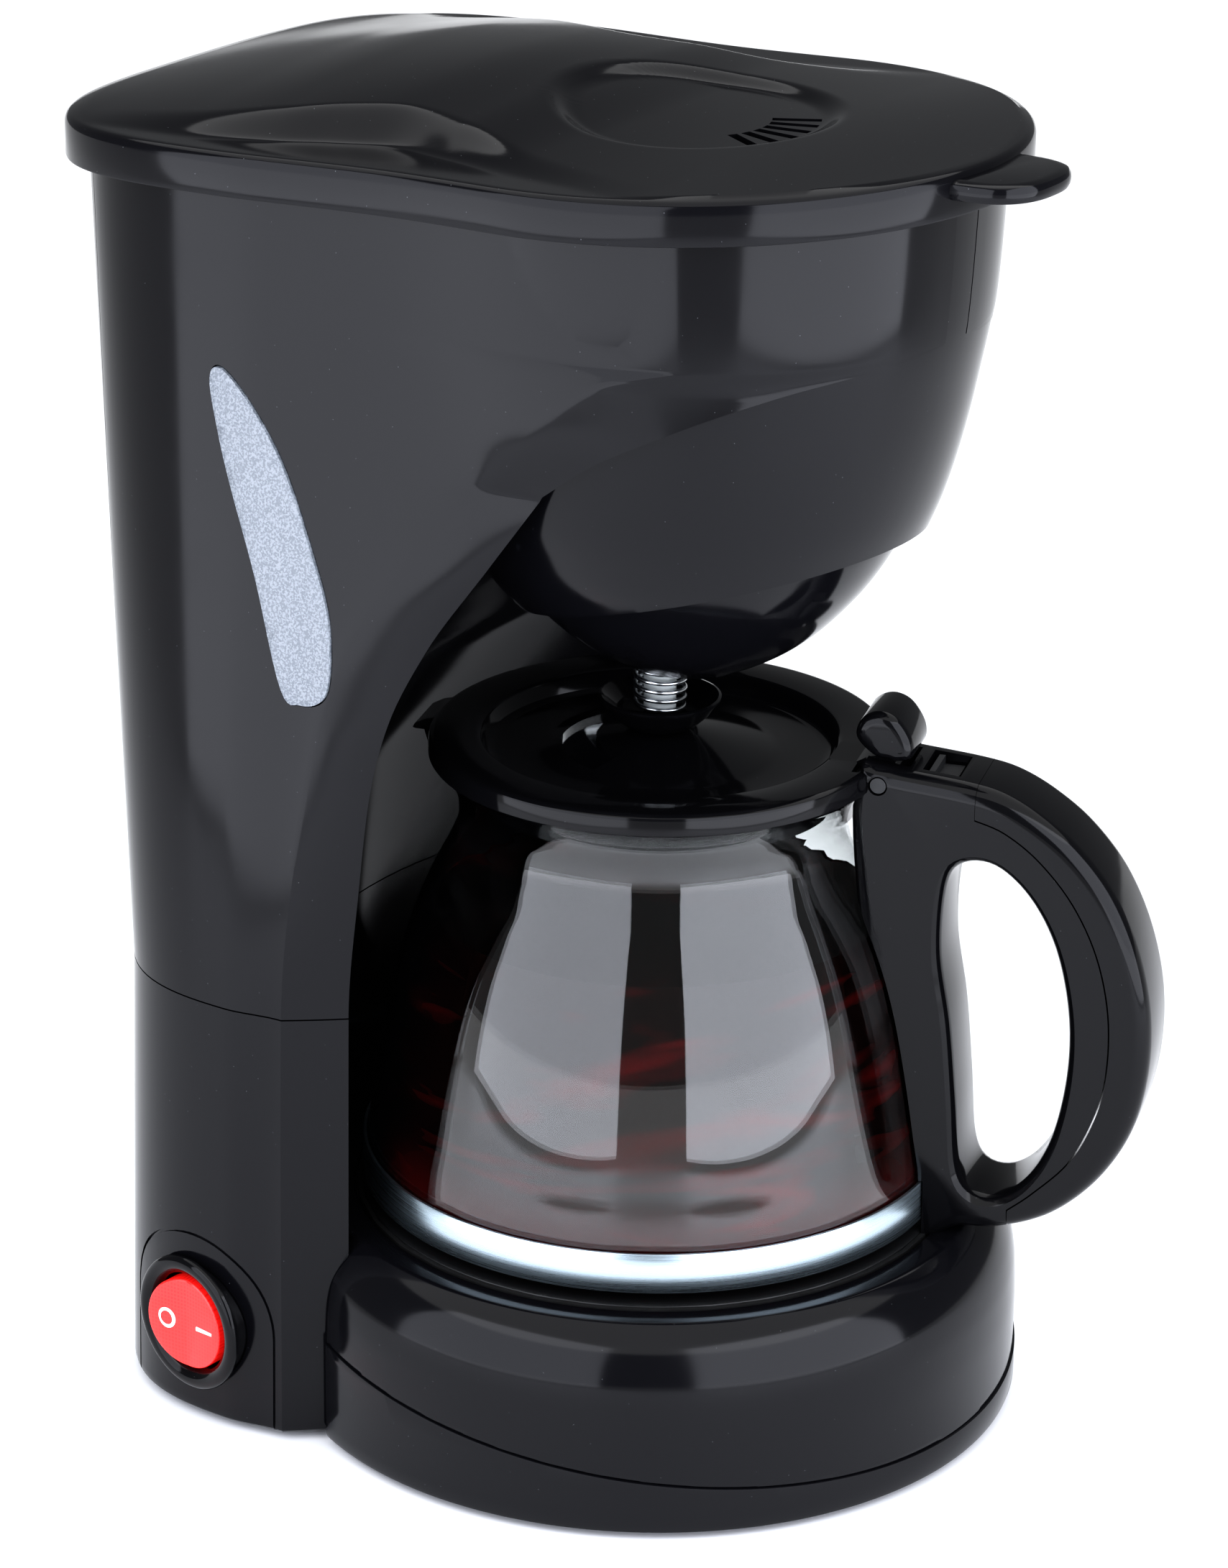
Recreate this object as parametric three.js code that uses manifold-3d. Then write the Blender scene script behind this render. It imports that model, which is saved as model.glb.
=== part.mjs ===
// Drip coffee maker: tower with water tank, brew head, hot plate base and glass jug.
// Millimetres, +Z up. The front of the machine faces -Y, the switch and the water window are on -X.
// While the pieces are made, the Z axis runs through the centre of the hot plate.
import * as THREE from 'three';
import { mergeVertices } from 'three/addons/utils/BufferGeometryUtils.js';
import Module from 'manifold-3d';

const wasm = await Module();
wasm.setup();

// ---------- driving dimensions ----------
const gap = 0.3; // clearance kept between pieces that touch
const wall = 2.5; // casing wall
const ringSides = 32; // sides of a large round piece
const middleSides = 24; // sides of a piece inside a large one
const smallSides = 12; // sides of a small round piece

const footHeight = 1.6;
const footRadius = 6;
const baseRadius = 75;
const baseHeight = 43; // drum top, level with the hot plate
const drumTopRadius = 66;
const splitHeight = 18.3; // height of the drum's split line beside the axis
const splitSlope = 0.137; // rise of the split line per millimetre towards the back
const plateRadius = 59;
const gateHalf = 40; // half the width of the opening from the drum into the tower
const heaterRadius = 5.6;

const seamHeight = 92; // joint between lower and upper housing
const towerHalfWidth = 71.7; // at the seam
const towerTopHalfWidth = 57.6; // at the lid
const towerRear = 99; // at the seam
const towerTopRear = 112; // at the lid
const rimHeight = 259.5; // top edge of the housing above the axis
const rimSlope = 2.5; // degrees, rising towards the front
const towerTop = rimHeight + 4.5; // height the tower is drawn up to before its rim is cut
const rearCoverDepth = 11; // how far the rear cover reaches forward

const headCentre = -6; // y of the brew head's own axis
const headStretch = 1.06; // the head is this much longer than wide
const headTopRadius = 56.8;
const bowlBottom = 155.2;

const lidOverhang = 4.6; // skirt's outer face beyond the housing
const skirtDepth = 8.5;
const lidWall = 2.2;
const tabLength = 14;

const glassWall = 1.9;
const glassRadius = 57.9;
const jugBase = 43; // height the jug is drawn at, before it is stood on the plate
const glassBottom = jugBase + gap;
const bandHeight = 8.3;
const bandBottom = 45.6;
const jugTurn = 18; // degrees, the jug stands with its handle turned from the front
const handleWidth = 20;
const lidPlane = 135.4; // underside of the jug lid's rim

const stemRadius = 3.2;
const dishBottom = 140.6;
const dishRadius = 12.2;
const springRadius = 4.9;
const springWire = 0.5;
const springTurns = 5;
const stopOpen = 1.5; // the jug holds the drip stop's cap this far off its seal

const switchRadius = 9.6;
const bezelRadius = 14.2;
const switchHeight = 21.8;
const switchTurn = 10; // degrees the switch faces towards the back
const rockerTilt = 6;

// ---------- small tools ----------
const rad = THREE.MathUtils.degToRad;
const rimTan = Math.tan(rad(rimSlope));

// a table of [z, value] pairs read with straight lines between them
function between(table, z) {
  if (z <= table[0][0]) return table[0][1];
  for (let i = 1; i < table.length; i += 1) {
    const [z0, v0] = table[i - 1];
    const [z1, v1] = table[i];
    if (z <= z1) return v0 + ((v1 - v0) * (z - z0)) / (z1 - z0);
  }
  return table[table.length - 1][1];
}

function smooth(a, b, v) {
  return THREE.MathUtils.smoothstep(v, a, b);
}

// welds a closed geometry, drops its flat triangles and turns it the right way out
function weld(geometry) {
  if (geometry.userData.welded) return geometry;
  const bare = geometry.clone();
  bare.deleteAttribute('normal');
  bare.deleteAttribute('uv');
  const merged = mergeVertices(bare, 1e-4);
  const p = merged.attributes.position;
  const kept = [];
  let volume = 0;
  const a = new THREE.Vector3();
  const b = new THREE.Vector3();
  const c = new THREE.Vector3();
  const index = merged.index.array;
  for (let i = 0; i < index.length; i += 3) {
    const [i0, i1, i2] = [index[i], index[i + 1], index[i + 2]];
    if (i0 === i1 || i1 === i2 || i2 === i0) continue;
    kept.push(i0, i1, i2);
    volume += a.fromBufferAttribute(p, i0).dot(b.fromBufferAttribute(p, i1).cross(c.fromBufferAttribute(p, i2)));
  }
  if (volume < 0) kept.reverse();
  merged.setIndex(kept);
  return merged;
}

function toSolid(geometry) {
  const closed = weld(geometry);
  const vertProperties = new Float32Array(closed.attributes.position.array);
  const triVerts = new Uint32Array(closed.index.array);
  return new wasm.Manifold(new wasm.Mesh({ numProp: 3, vertProperties, triVerts }));
}

function toGeometry(solid) {
  const { vertProperties, triVerts } = solid.getMesh();
  const geometry = new THREE.BufferGeometry();
  geometry.setAttribute('position', new THREE.BufferAttribute(new Float32Array(vertProperties), 3));
  geometry.setIndex(new THREE.BufferAttribute(new Uint32Array(triVerts), 1));
  geometry.userData.welded = true;
  return geometry;
}

function joined(first, ...rest) {
  return toGeometry(rest.reduce((sum, g) => sum.add(toSolid(g)), toSolid(first)));
}

function cut(first, ...rest) {
  return toGeometry(rest.reduce((left, g) => left.subtract(toSolid(g)), toSolid(first)));
}

function common(first, ...rest) {
  return toGeometry(rest.reduce((left, g) => left.intersect(toSolid(g)), toSolid(first)));
}

// a round piece about the Z axis from [radius, height] pairs that start and end on the axis or close
function turned(profile, sides = ringSides) {
  const points = profile.map(([r, z]) => new THREE.Vector2(r, z));
  const geometry = new THREE.LatheGeometry(points, sides);
  return geometry.rotateX(Math.PI / 2);
}

function ring(inner, outer, low, high, sides = smallSides) {
  return turned([[inner, low], [outer, low], [outer, high], [inner, high], [inner, low]], sides);
}

function disc(radius, low, high, sides = smallSides) {
  return turned([[0, low], [radius, low], [radius, high], [0, high]], sides);
}

function box(x0, x1, y0, y1, z0, z1) {
  const geometry = new THREE.BoxGeometry(x1 - x0, y1 - y0, z1 - z0);
  return geometry.translate((x0 + x1) / 2, (y0 + y1) / 2, (z0 + z1) / 2);
}

// skin over stacked outlines, each a list of [x, y, z], closed by flat ends
function loft(rings) {
  const n = rings[0].length;
  const position = rings.flat(2);
  const index = [];
  for (let k = 0; k + 1 < rings.length; k += 1) {
    for (let j = 0; j < n; j += 1) {
      const [a, b] = [k * n + j, k * n + ((j + 1) % n)];
      index.push(a, b, b + n, a, b + n, a + n);
    }
  }
  [0, rings.length - 1].forEach((k) => {
    const flat = rings[k].map(([x, y]) => new THREE.Vector2(x, y));
    THREE.ShapeUtils.triangulateShape(flat, []).forEach((t) => {
      const [a, b, c] = t.map((i) => i + k * n);
      if (k === 0) index.push(a, c, b);
      else index.push(a, b, c);
    });
  });
  const geometry = new THREE.BufferGeometry();
  geometry.setAttribute('position', new THREE.Float32BufferAttribute(position, 3));
  geometry.setIndex(index);
  return geometry;
}

// a round bar along a smooth curve through points
function bar(points, radius, steps, sides = 8) {
  const path = new THREE.CatmullRomCurve3(points.map((p) => new THREE.Vector3(...p)));
  return barOn(path, radius, steps, sides);
}

function barOn(path, radius, steps, sides = 8) {
  const corners = [];
  for (let i = 0; i < sides; i += 1) {
    const a = (2 * Math.PI * i) / sides;
    corners.push(new THREE.Vector2(radius * Math.cos(a), radius * Math.sin(a)));
  }
  return new THREE.ExtrudeGeometry(new THREE.Shape(corners), { steps, extrudePath: path });
}

// everything above or below a plane that holds the X axis direction: z = height + slope * y
function aboveSlope(height, slope) {
  const half = 200;
  const low = (y) => height + slope * y;
  const outline = (z) => [[-half, -half], [half, -half], [half, half], [-half, half]].map(([x, y]) => [x, y, z(y)]);
  return loft([outline(low), outline(() => 500)]);
}

function belowSlope(height, slope) {
  const half = 200;
  const high = (y) => height + slope * y;
  const outline = (z) => [[-half, -half], [half, -half], [half, half], [-half, half]].map(([x, y]) => [x, y, z(y)]);
  return loft([outline(() => -100), outline(high)]);
}

// ---------- tower outline ----------
const towerWidthAt = [[0, towerHalfWidth + 1.8], [seamHeight, towerHalfWidth], [towerTop, towerTopHalfWidth]];
const towerRearAt = [[0, towerRear + 1.5], [seamHeight, towerRear], [towerTop, towerTopRear]];
const widestAt = [[0, 54], [seamHeight, 54], [towerTop, 60]];
const squareness = [[0, 2.7], [seamHeight, 2.7], [towerTop, 3.5]];
const cornerX = [[0, 62.5], [seamHeight, 61.5], [150, 60.5], [170, 58], [188, 55], [204, 52],
  [towerTop, headTopRadius - 2.8]];
const cornerY = [[0, 31], [seamHeight, 31], [120, 28.5], [140, 26], [155, 22], [170, 15], [188, 3], [204, -6]];
const nicheY = [[0, 67.5], [seamHeight, 67.5], [120, 66.5], [140, 61], [155, 51], [170, 38], [188, 20], [204, 8]];
const chamferX = [[0, 71.5], [seamHeight, 69.8], [150, 64.5], [170, 62.5], [188, 59.5], [204, 56.5],
  [towerTop, headTopRadius - 2.2]];
const chamferY = [[0, 41], [seamHeight, 41.2], [150, 36], [170, 30], [188, 18], [204, 8], [towerTop, 14]];
// how far an inner outline's corner moves for each millimetre of wall
const cornerMoveX = [[0, 1], [seamHeight, 1], [155, 0.6], [188, -1.2], [204, -1.7]];
const cornerMoveY = [[0, 2.68], [seamHeight, 2.68], [155, 2.5], [188, 1.2], [204, 0.2]];
const sidePoints = 4;
const rearPoints = 7;
const nichePoints = 10;

// half of the plan, from the front corner round to the middle of the back
function towerHalf(z, inset) {
  const width = between(towerWidthAt, z) - inset;
  const rear = between(towerRearAt, z) - inset;
  const widest = between(widestAt, z);
  const n = between(squareness, z);
  const corner = [between(cornerX, z) + between(cornerMoveX, z) * inset,
    between(cornerY, z) + between(cornerMoveY, z) * inset];
  const chamfer = [between(chamferX, z) - 1.04 * inset, between(chamferY, z) + 0.33 * inset];
  const half = [corner];
  for (let i = 0; i < sidePoints; i += 1) {
    const t = i / sidePoints;
    half.push([chamfer[0] + (width - chamfer[0]) * smooth(0, 1, t), chamfer[1] + (widest - chamfer[1]) * t]);
  }
  for (let i = 0; i <= rearPoints; i += 1) {
    const a = (Math.PI / 2) * (i / rearPoints);
    half.push([width * Math.cos(a) ** (2 / n), widest + (rear - widest) * Math.sin(a) ** (2 / n)]);
  }
  return half;
}

function towerPlan(z, inset = 0) {
  const half = towerHalf(z, inset);
  const other = half.slice(0, -1).reverse().map(([x, y]) => [-x, y]);
  const [cx, cy] = half[0];
  const middle = between(nicheY, z) + inset;
  const niche = [];
  for (let i = 1; i < nichePoints; i += 1) {
    const a = Math.PI * (1 - i / nichePoints);
    niche.push([cx * Math.cos(a), cy + (middle - cy) * Math.sin(a)]);
  }
  return [...half, ...other, ...niche].map(([x, y]) => [x, y, z]);
}

const towerLevels = [seamHeight, 120, 140, 155, 170, 188, 204, towerTop];

function towerSolid(levels, inset = 0) {
  return loft(levels.map((z) => towerPlan(z, inset)));
}

// ---------- brew head ----------
const headProfile = [[166, 26], [171, 34], [178, 39.6], [186, 43.8], [197, 47.8], [214, 52], [235, 55.2],
  [rimHeight + 5, headTopRadius]];
const bowlProfile = [[bowlBottom, 7], [157.2, 13], [162, 21.2], [169, 28.9], [178, 35.8], [189, 41.2], [200, 43.4]];
const shellEdgeHeight = 176;
const shellEdgeSlope = -0.28;

function onHead(geometry) {
  return geometry.scale(1, headStretch, 1).translate(0, headCentre, 0);
}

function headSolid(inset) {
  const side = headProfile.map(([z, r]) => [r - inset, z]);
  const first = side[0];
  return onHead(turned([[0, first[1]], ...side, [0, side[side.length - 1][1]]]));
}

// ---------- housings ----------
const seamCut = (z) => between(towerRearAt, z) - rearCoverDepth;

// everything behind the line where the rear cover meets the housings
function behindSeam(shift) {
  const outline = (z) => {
    const y = seamCut(z) + shift;
    return [[-120, y, z], [120, y, z], [120, 200, z], [-120, 200, z]];
  };
  return loft([outline(-10), outline(seamHeight), outline(towerTop + 16)]);
}

function aboveRim() {
  return aboveSlope(rimHeight, -rimTan);
}

const windowDepth = 34;

function windowPrism(margin) {
  const front = [[33.4, 162.4], [34.2, 173.6], [38, 185.4], [44.4, 200.8], [50.9, 210.8]];
  const back = [[61.2, 218.6], [62.2, 216], [57, 198], [50.2, 180], [43.8, 158.6], [39.6, 156.4]];
  const middle = new THREE.Vector2(48, 187);
  const points = [...front, ...back].map(([y, z]) => {
    const p = new THREE.Vector2(y, z);
    const away = p.clone().sub(middle).normalize().multiplyScalar(margin);
    return p.add(away);
  });
  const geometry = new THREE.ExtrudeGeometry(new THREE.Shape(points), { depth: windowDepth, bevelEnabled: false });
  const standing = new THREE.Matrix4().makeBasis(
    new THREE.Vector3(0, 1, 0), new THREE.Vector3(0, 0, 1), new THREE.Vector3(1, 0, 0));
  return geometry.applyMatrix4(standing).translate(-90, 0, 0);
}

function upperHousing() {
  const head = cut(headSolid(0), belowSlope(shellEdgeHeight - shellEdgeSlope * headCentre, shellEdgeSlope));
  const outside = joined(towerSolid(towerLevels), head);
  const hollow = towerLevels.map((z, i) => z + (i === 0 ? -1 : 0));
  const inside = joined(towerSolid(hollow, wall), headSolid(wall));
  const bowlRoom = onHead(turned([[0, bowlBottom - 4], ...bowlProfile.map(([z, r]) => [r + gap, z]),
    [bowlProfile[bowlProfile.length - 1][1] + gap, 206], [0, 206]]));
  return cut(outside, inside, bowlRoom, aboveRim(), behindSeam(-gap / 2), windowPrism(gap));
}

function lowerHousing() {
  const outside = towerSolid([footHeight, seamHeight - gap]);
  const inside = towerSolid([footHeight - 1, seamHeight], wall);
  return cut(outside, inside, behindSeam(-gap / 2), switchHole(), frontGate());
}

// opening in the front wall, hidden by the drum, for the base plate, hoses and wires
function frontGate() {
  return box(-gateHalf - gap, gateHalf + gap, 50, 73, 0, 37);
}

function rearCover() {
  const levels = [footHeight, ...towerLevels];
  const hollow = [footHeight - 1, ...towerLevels];
  const shell = cut(towerSolid(levels), towerSolid(hollow, wall), aboveRim(), cordHole());
  const panel = common(shell, behindSeam(gap / 2));
  return joined(panel, ...[-1, 1].map((side) => hingeLug(side)));
}

// ---------- base ----------
function drumProfile() {
  return [[baseRadius - 0.4, 0], [baseRadius - 0.4, baseHeight - 21], [baseRadius - 1, baseHeight - 13],
    [baseRadius - 2.6, baseHeight - 7], [baseRadius - 5, baseHeight - 2.6], [drumTopRadius, baseHeight]];
}

function towerRoom() {
  return towerSolid([-5, 60], -gap);
}

function drumShell() {
  const outside = turned([[0, 0], ...drumProfile(), [0, baseHeight]]);
  const inside = turned([[0, -1], ...drumProfile().map(([r, z]) => [r - wall, z - (z > 0 ? wall : 1)]),
    [0, baseHeight - wall]]);
  const plateHole = disc(plateRadius + gap + 1.2, 30, 60, ringSides);
  const below = belowSlope(splitHeight + gap / 2, splitSlope);
  return cut(outside, inside, plateHole, below, towerRoom(), nicheRoom());
}

function baseRing() {
  const tube = ring(baseRadius - wall, baseRadius, footHeight, baseHeight - 3, ringSides);
  return cut(tube, aboveSlope(splitHeight - gap / 2, splitSlope), towerRoom(), nicheRoom());
}

// the drum reaches into the niche only as far as its top deck
function nicheRoom() {
  return cut(box(-90, 90, 33, 110, -5, 60), disc(drumTopRadius + 0.8, -6, 61, ringSides));
}

function basePlate() {
  const inDrum = disc(baseRadius - wall - gap, footHeight + 0.4, footHeight + 2.4, ringSides);
  const inTower = towerSolid([footHeight + 0.4, footHeight + 2.4], wall + gap);
  const towerWalls = cut(towerSolid([0, 10], -gap), towerSolid([-1, 11], wall + gap));
  return cut(joined(cut(inDrum, towerWalls), inTower, bridge()), ...screwPlaces.map((p) => at(disc(2.1, 0, 9), p)));
}

// the plate passes through the gate in the tower's front wall
function bridge() {
  return box(-gateHalf, gateHalf, 40, 80, footHeight + 0.4, footHeight + 2.4);
}

function at(geometry, [x, y]) {
  return geometry.translate(x, y, 0);
}

const footPlaces = [[-45, -42], [45, -42], [-52, 72], [52, 72]];
const footNames = ['front_left', 'front_right', 'rear_left', 'rear_right'];
const screwPlaces = [[-58, -12], [58, -12], [-24, 84], [24, 84]];

function foot(place) {
  const profile = [[0, 0], [footRadius - 0.8, 0], [footRadius, 0.8], [footRadius, footHeight + 0.1], [0, footHeight + 0.1]];
  return at(turned(profile, smallSides), place);
}

function baseScrew(place) {
  const low = footHeight + 0.1 - 1.2;
  const profile = [[0, low], [3.4, low], [3.4, footHeight + 0.1], [1.6, footHeight + 0.1], [1.6, 9], [0, 9]];
  return at(turned(profile, 10), place);
}

function hotPlate() {
  const top = baseHeight;
  return turned([[0, top - 1.2], [plateRadius - 4, top - 1.2], [plateRadius - 4, top - 3.2], [plateRadius, top - 3.2],
    [plateRadius, top - 0.6], [plateRadius - 0.6, top], [0, top]]);
}

function plateSeal() {
  return ring(plateRadius + gap, plateRadius + gap + 0.9, baseHeight - 3.4, baseHeight - 0.3, ringSides);
}

function heater() {
  const radius = plateRadius - 25;
  const height = heaterTop - heaterRadius;
  const points = [];
  for (let i = 0; i <= 12; i += 1) {
    const a = rad(125 + (i * 290) / 12);
    points.push([radius * Math.cos(a), radius * Math.sin(a), height]);
  }
  return bar([[points[0][0] - 2, points[0][1] + 14, height], ...points,
    [points[12][0] + 2, points[12][1] + 14, height]], heaterRadius, 22, 10);
}

const heaterTop = baseHeight - 1.2 - gap;

function thermostat() {
  return joined(disc(8, heaterTop - 9, heaterTop), box(-11, 11, -3, 3, heaterTop - 9, heaterTop - 7.6));
}

function thermalFuse() {
  return bar([[13.4, -8, heaterTop - 2.4], [13.4, 0, heaterTop - 2.4], [13.4, 8, heaterTop - 2.4]], 2, 4, 8);
}

const hoseRadius = 3.6;
const hoseLevel = heaterTop - heaterRadius;
const tankFloor = seamHeight + 8;
const tankTop = 244;
const outletX = 16;
const outletY = 83;

function hose(side, top) {
  return bar([[side * 21.6, 45, hoseLevel], [side * 21.4, 52, hoseLevel - 3], [side * 20, 66, 28], [side * 17, 80, 34],
    [side * outletX, outletY, 50], [side * outletX, outletY, top]], hoseRadius, 14, 8);
}

function checkValve() {
  return turned([[0, 0], [5.4, 0], [5.4, 9], [3.4, 10.6], [3.4, 13], [0, 13]], 16)
    .translate(-outletX, outletY, tankFloor - 13 - gap);
}

const tankFront = 42;
const tankWall = 1.6;
const tankAir = 2.2; // space between the tank and the housing

// the tank keeps to the tower's sides and back, and has a straight front
function tankSolid(low, high, inset, front) {
  const plan = (z) => {
    const half = towerHalf(z, inset);
    const rear = half.slice(1 + sidePoints);
    const side = half[1][0] + (rear[0][0] - half[1][0]) * 0.5;
    const right = [[side, Math.max(front, half[1][1] + 1)], ...rear];
    const left = right.slice(0, -1).reverse().map(([x, y]) => [-x, y]);
    return [...right, ...left].map(([x, y]) => [x, y, z]);
  };
  return cut(loft([low, 140, 188, high].map(plan)), nicheSolid(low, high, inset));
}

// the air in front of the tower, grown by an inset
function nicheSolid(low, high, inset) {
  const plan = (z) => {
    const reach = between(nicheY, z) + inset;
    return [...Array(13).keys()].map((i) => {
      const a = (Math.PI * i) / 12;
      return [(62 + inset) * Math.cos(a), 31 + (Math.max(reach, 33) - 31) * Math.sin(a), z];
    });
  };
  return loft([low - 2, 120, 140, 155, 170, high + 2].map(plan));
}

// the tank's front wall curves round the filter basket
function basketRoom(margin) {
  return disc(basketRimRadius + 1 + margin, basketFloor - 4 - margin, 300, middleSides).translate(0, basketY, 0);
}

// open tank with an outlet hole and a sleeve for the riser
function waterTank() {
  const outside = cut(tankSolid(tankFloor, tankTop, wall + tankAir, tankFront), basketRoom(0));
  const whole = tankSolid(tankFloor + tankWall, tankTop + 1, wall + tankAir + tankWall, tankFront + tankWall);
  const room = cut(whole, basketRoom(tankWall));
  const sleeve = disc(hoseRadius + 1.6, tankFloor, tankTop - 4).translate(outletX, outletY, 0);
  const bore = disc(hoseRadius + gap, tankFloor - 1, tankTop + 1).translate(outletX, outletY, 0);
  const outlet = disc(2.6, tankFloor - 1, tankFloor + 3, 12).translate(-outletX, outletY, 0);
  return cut(joined(cut(outside, room), sleeve), bore, outlet);
}

// stiff tube from the hot hose up through the tank
function riserTube() {
  return ring(1.9, hoseRadius, tankFloor - 4, tankTop + 1.2, 12).translate(outletX, outletY, 0);
}

const sprayHeight = 249.6;

// hangs from the lid's underside by a post, and meets the riser when the lid is shut
function sprayHead() {
  const arm = bar([[outletX, outletY, sprayHeight], [8, 50, sprayHeight + 1.2], [0, 20, sprayHeight + 1.2],
    [0, headCentre, sprayHeight]], 3, 10, 8);
  const drop = disc(hoseRadius, tankTop + 1.5, sprayHeight + 2, 12).translate(outletX, outletY, 0);
  const rose = turned([[0, sprayHeight - 3], [13, sprayHeight - 4.4], [14, sprayHeight - 4.4], [14, sprayHeight - 3],
    [4, sprayHeight + 2.6], [0, sprayHeight + 2.6]], smallSides).translate(0, headCentre, 0);
  const ceiling = rimHeight - rimTan * headCentre + lidRise(0, headCentre) - lidWall - 2 * gap;
  const post = turned([[0, sprayHeight], [3, sprayHeight], [3, ceiling - 1.6], [8, ceiling - 1.6], [8, ceiling],
    [0, ceiling]], smallSides).translate(0, headCentre, 0);
  return joined(rose, arm, drop, post);
}

function waterWindow() {
  const levels = [140, 155, 170, 188, 204, 225];
  return common(cut(towerSolid(levels, -0.5), towerSolid(levels, 2)), windowPrism(0));
}

// ---------- switch ----------
function onSide(geometry) {
  // the piece is made facing +Z about the origin, then stood on the tower's left side
  geometry.rotateY(-Math.PI / 2).rotateZ(rad(-switchTurn));
  const [x, y] = switchPlace;
  return geometry.translate(x, y, switchHeight);
}

const switchPlace = [-72.6, 61.8];

function switchHole() {
  return onSide(disc(bezelRadius - 1.6 + gap, -14, 6, 24));
}

function switchBezel() {
  const inner = switchRadius + 0.7;
  const seat = 1.1;
  return onSide(turned([[inner, -8], [bezelRadius - 1.6, -8], [bezelRadius - 1.6, seat], [bezelRadius, seat],
    [bezelRadius, seat + 0.8], [bezelRadius - 0.8, seat + 1.6], [inner + 0.8, seat + 1.6], [inner, seat + 0.8],
    [inner, -8]], 18));
}

// a shallow V on its face, with one half pressed in
function switchRocker() {
  const half = [[-switchRadius, 2.3], [0, 1.2], [switchRadius, 2.3]];
  const outline = new THREE.Shape([[-switchRadius, -2.4], [switchRadius, -2.4], ...half.reverse()]
    .map(([x, y]) => new THREE.Vector2(x, y)));
  const prism = new THREE.ExtrudeGeometry(outline, { depth: 30, bevelEnabled: false });
  prism.translate(0, 0, -15).rotateX(Math.PI / 2);
  const button = common(prism, disc(switchRadius, -10, 10, 24));
  button.rotateZ(Math.PI / 2).rotateX(rad(rockerTilt));
  return onSide(button.translate(0, 0, 1.1));
}

function switchBody() {
  const body = box(-8, 8, -6, 6, -13, -8.3);
  const tabs = [-5, 0, 5].map((height) => box(height - 0.4, height + 0.4, -2.4, 2.4, -17, -12));
  return onSide(joined(body, ...tabs));
}

// ---------- cord inlet ----------
const inletX = 22;
const inletHeight = 16;

function backFacing(geometry) {
  return geometry.rotateX(-Math.PI / 2).translate(inletX, towerRear - 3, inletHeight);
}

function cordHole() {
  return backFacing(disc(6 + gap, -12, 16));
}

function cordGland() {
  return backFacing(turned([[3.4, -7], [7.6, -7], [7.6, -5.2], [6, -5.2], [6, 0], [6, 6], [5.2, 8], [3.4, 8],
    [3.4, -7]], smallSides));
}

// ---------- brewing parts inside the head ----------
const basketFloor = 187;
const basketTop = 243;
const basketRimRadius = 49.5;
const basketY = 0; // the basket's outlet stands over the jug, behind the head's own axis
const boreRadius = stemRadius + 0.6;

function bowl() {
  const outer = bowlProfile.map(([z, r]) => [r, z]);
  const inner = bowlProfile.slice(1).map(([z, r]) => [r - 2, z + 1.2]);
  const top = bowlProfile[bowlProfile.length - 1];
  const shell = onHead(turned([[0, bowlBottom], ...outer, [top[1] - 2, top[0]], ...inner.slice(0, -1).reverse(),
    [5, bowlBottom + 2], [0, bowlBottom + 2]], middleSides));
  return cut(shell, disc(boreRadius, 150, 162));
}

function filterBasket() {
  const outer = [[20, basketFloor], [25, basketFloor + 4], [44.2, 232], [basketRimRadius, basketTop - 2],
    [basketRimRadius, basketTop]];
  const inner = [[basketRimRadius - 1.9, basketTop], [42.6, 232.4], [23.6, basketFloor + 5], [19.4, basketFloor + 1.6]];
  const shell = turned([[0, basketFloor], ...outer, ...inner, [0, basketFloor + 1.6]], middleSides);
  const ribs = [0, 1, 2, 3, 4, 5].map((i) => box(8, 21, -0.7, 0.7, basketFloor + 1, basketFloor + 4).rotateZ((i * Math.PI) / 3));
  return cut(joined(shell, ...ribs), disc(boreRadius, 180, 200)).translate(0, basketY, 0);
}

function filterMesh() {
  const outer = [[20, basketFloor + 12], [42.2, 235.4], [45.2, 239.4], [45.2, 240.6]];
  const inner = [[43.8, 240.6], [41, 235.8], [19.2, basketFloor + 13.2]];
  const shell = turned([[0, basketFloor + 12], ...outer, ...inner, [0, basketFloor + 13.2]], middleSides);
  return shell.translate(0, basketY, 0);
}

const bailReach = 42;
const bailRadius = 1.2;

// the basket's folding handle, laid down over the mesh
function filterBail() {
  const points = [];
  for (let i = 0; i <= 8; i += 1) {
    const a = (Math.PI * i) / 8;
    points.push([bailReach * Math.cos(a), basketY + bailReach * Math.sin(a), basketTop - 0.8]);
  }
  return bar(points, bailRadius, 12, 6);
}

function dripSeal() {
  return ring(boreRadius, 7, basketFloor + 1.6 + gap, basketFloor + 3.2);
}

function dripStem() {
  const cap = basketFloor + 3.2 + stopOpen;
  return turned([[0, 144.9], [stemRadius, 144.9], [stemRadius, cap], [6.4, cap], [6.4, cap + 1.2], [2, cap + 2.2],
    [0, cap + 2.2]], smallSides);
}

function dripDish() {
  const low = dishBottom;
  return turned([[0, low], [5.4, low], [8, low + 1.6], [dishRadius - 0.6, low + 6], [dishRadius, low + 6.8],
    [dishRadius - 1, low + 7], [7.2, low + 3.6], [0, low + 3.6]], 16);
}

class Helix extends THREE.Curve {
  constructor(radius, low, high, turns) {
    super();
    Object.assign(this, { radius, low, high, turns });
  }

  getPoint(t, target = new THREE.Vector3()) {
    const a = 2 * Math.PI * this.turns * t;
    return target.set(this.radius * Math.cos(a), this.radius * Math.sin(a), this.low + (this.high - this.low) * t);
  }
}

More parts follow.
